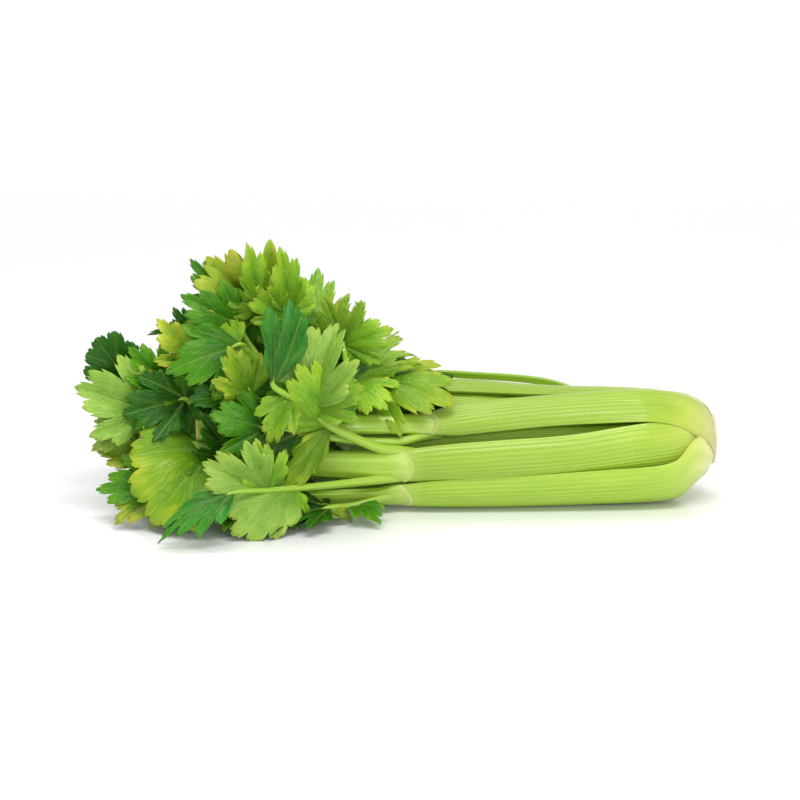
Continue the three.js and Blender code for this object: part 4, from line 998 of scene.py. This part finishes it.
def stalk_paint(name, rachis=False):
    """The ribbed skin of a stalk or of a leaf's stems, streaked along its length."""
    p = Paint(bpy.data.materials.new(name))
    path, left, side = p.mark("path"), p.mark("left"), p.mark("side")
    shade, seed = p.mark("shade"), p.mark("seed")
    length = p.times(path, 0.004)
    streaks = p.noise(p.join(length, p.times(side, 5.0), seed), 5.0, 5.0, 0.6)
    fine = p.noise(p.join(length, p.times(side, 26.0), seed), 5.0, 2.0, 0.5)
    broad = p.noise(p.join(p.times(path, 0.012), side, seed), 1.6, 2.0, 0.5)
    grain = p.noise(p.join(p.times(path, 0.05), p.times(side, 9.0), seed), 6.0, 4.0, 0.6)
    if rachis:
        colour = p.ramp(p.remap(path, 0, 200), (0, "#a8c83e"), (0.3, "#92bd2e"), (1, "#7eb026"))
    else:
        colour = p.ramp(
            p.remap(path, 0, 240), (0.0, "#f0e4b8"), (0.05, "#e8e096"), (0.11, "#c6d85a"),
            (0.2, "#accb38"), (0.45, "#9dc02c"), (1.0, "#90b82a"))
    # Patches, streaks and fine lines in lighter and darker greens run along the skin. The last tint makes
    # the rib crests paler: partly the ribs' own colour, partly painted shade in the furrows between them.
    for value, low, high, most, code in (
            (broad, 0.35, 0.65, 0.45, "#82b41e"), (streaks, 0.45, 0.75, 0.45, "#b7cd4a"),
            (streaks, 0.45, 0.2, 0.5, "#6c9e16"), (fine, 0.52, 0.72, 0.4, "#c2d65c"),
            (fine, 0.46, 0.28, 0.35, "#74a618"), (p.mark("rib"), 0.2, 1.0, 0.4, "#bfd658")):
        colour = p.tint(colour, value, low, high, most, code)
    if rachis:
        # It starts as pale as the collar that it grows from, and its end, if it was cut, has browned.
        start = p.mark("start")
        colour = p.mix(p.times(p.remap(path, 14, 4, 0.0, 0.5), start), colour, rgb("#c9d878"))
        colour = p.mix(p.times(p.remap(left, 1.6, 0.2), start), colour, rgb("#cf9a62"))
    else:
        # The collar at the node is pale, and near the butt the thin edges of a stalk have browned.
        colour = p.tint(colour, left, 3.5, 1.0, 0.8, "#e6eaa8")
        colour = p.tint(colour, left, 14, 2, 0.3, "#cfdd74")
        # The inner face, turned in among the other stalks, is painted a darker green: painted shade.
        colour = p.mix(p.times(p.mark("inner"), 0.3), colour, rgb("#74a828"))
        edge = p.remap(p.math("ABSOLUTE", side), 0.9, 1.0)
        colour = p.mix(p.times(edge, p.remap(path, 36, 12, 0.0, 0.7)), colour, rgb("#a67c50"))
    # The shade mark multiplies the colour: painted light and shade on the stalks in front, a random tone
    # elsewhere.
    colour = p.mix(1.0, colour, p.join(shade, shade, p.times(shade, shade)), "MULTIPLY")
    height = p.plus(p.plus(p.times(streaks, 0.6), p.times(fine, 0.5)), p.times(grain, 0.25))
    return p.set(
        Base_Color=colour, Roughness=p.remap(grain, 0.25, 0.75, 0.22, 0.42),
        Normal=p.bump(height, 0.4, 0.0008), Specular_IOR_Level=0.35,
        Subsurface_Weight=0.15, Subsurface_Radius=(0.5, 1.0, 0.15), Subsurface_Scale=0.003,
        Coat_Weight=0.5 if rachis else 0.45, Coat_Roughness=0.06)


def butt_paint():
    p = Paint(bpy.data.materials.new("butt_cut"))
    mottle = p.noise(p.place(), 260.0, 5.0, 0.6)
    colour = p.ramp(p.remap(p.mark("reach"), 0, 18), (0, "#e8dfb4"), (0.5, "#e2d8a6"), (0.8, "#dccf9c"),
                    (1, "#d6c490"))
    colour = p.tint(colour, mottle, 0.5, 0.72, 0.5, "#b39a5c")
    return p.set(Base_Color=colour, Roughness=0.6, Normal=p.bump(mottle, 0.6, 0.001))


def floor_paint():
    p = Paint(bpy.data.materials.new("floor"))
    soft = p.noise(p.place(), 3.0, 2.0, 0.5)
    return p.set(Base_Color=(0.93, 0.93, 0.93, 1), Roughness=p.remap(soft, 0, 1, 0.16, 0.2),
                 Specular_IOR_Level=0.35)


# ---- floor, light and camera

def make_floor():
    mesh = bpy.data.meshes.new("floor")
    corners = [(-FLOOR, -FLOOR, 0), (FLOOR, -FLOOR, 0), (FLOOR, FLOOR, 0), (-FLOOR, FLOOR, 0)]
    mesh.from_pydata(corners, [], [(0, 1, 2, 3)])
    mesh.materials.append(floor_paint())
    floor = placed("floor", mesh)


def make_world():
    """An even white studio, brighter round its walls than overhead."""
    p = Paint(bpy.data.worlds.new("studio"))
    up = p.add("SeparateXYZ", {0: p.add("TexCoord").outputs["Generated"]}).outputs["Z"]
    light = p.remap(up, 0, 0.5, WALLS, CEILING)
    p.put(p.nodes["Background"], {"Color": (1, 1, 1, 1), "Strength": light})
    bpy.context.scene.world = p.owner


def make_lights():
    """A soft key from above, and strips of light that show as highlights along the stalks."""
    sun = bpy.data.lights.new("key", "SUN")
    sun.energy = KEY["energy"]
    sun.angle = math.radians(KEY["softness"])
    placed("key", sun, rotation=KEY["rotation"])
    for name, (width, height, energy, location, rotation) in STRIPS.items():
        light = bpy.data.lights.new(name, "AREA")
        light.shape = "RECTANGLE"
        light.size, light.size_y = width, height
        light.energy = energy
        placed(name, light, location, rotation)


def make_camera():
    camera = bpy.data.cameras.new("camera")
    camera.lens = LENS
    camera.sensor_width = SENSOR
    tilt = math.radians(VIEW_ANGLE)
    location = (0, AXIS_SIDE * MM - VIEW_DISTANCE * math.cos(tilt),
                VIEW_HEIGHT + VIEW_DISTANCE * math.sin(tilt))
    bpy.context.scene.camera = placed("camera", camera, location, (90 - VIEW_ANGLE, 0, 0))


BLADE_PAINTS = [blade_paint(tone) for tone in TONES]
STALK_PAINT = stalk_paint("stalk_skin")
STEM_PAINT = stalk_paint("stem_skin", rachis=True)
BUTT_PAINT = butt_paint()

for seed, (name, stalk) in enumerate(STALKS.items(), STALK_SEEDS):
    make_stalk(name, stalk, seed)
for number, (name, leaf) in enumerate(LEAVES.items(), 1):
    make_leaf(name, leaf, number)
make_butt()
make_floor()
make_world()
make_lights()
make_camera()
bpy.context.scene.view_settings.view_transform = "Standard"
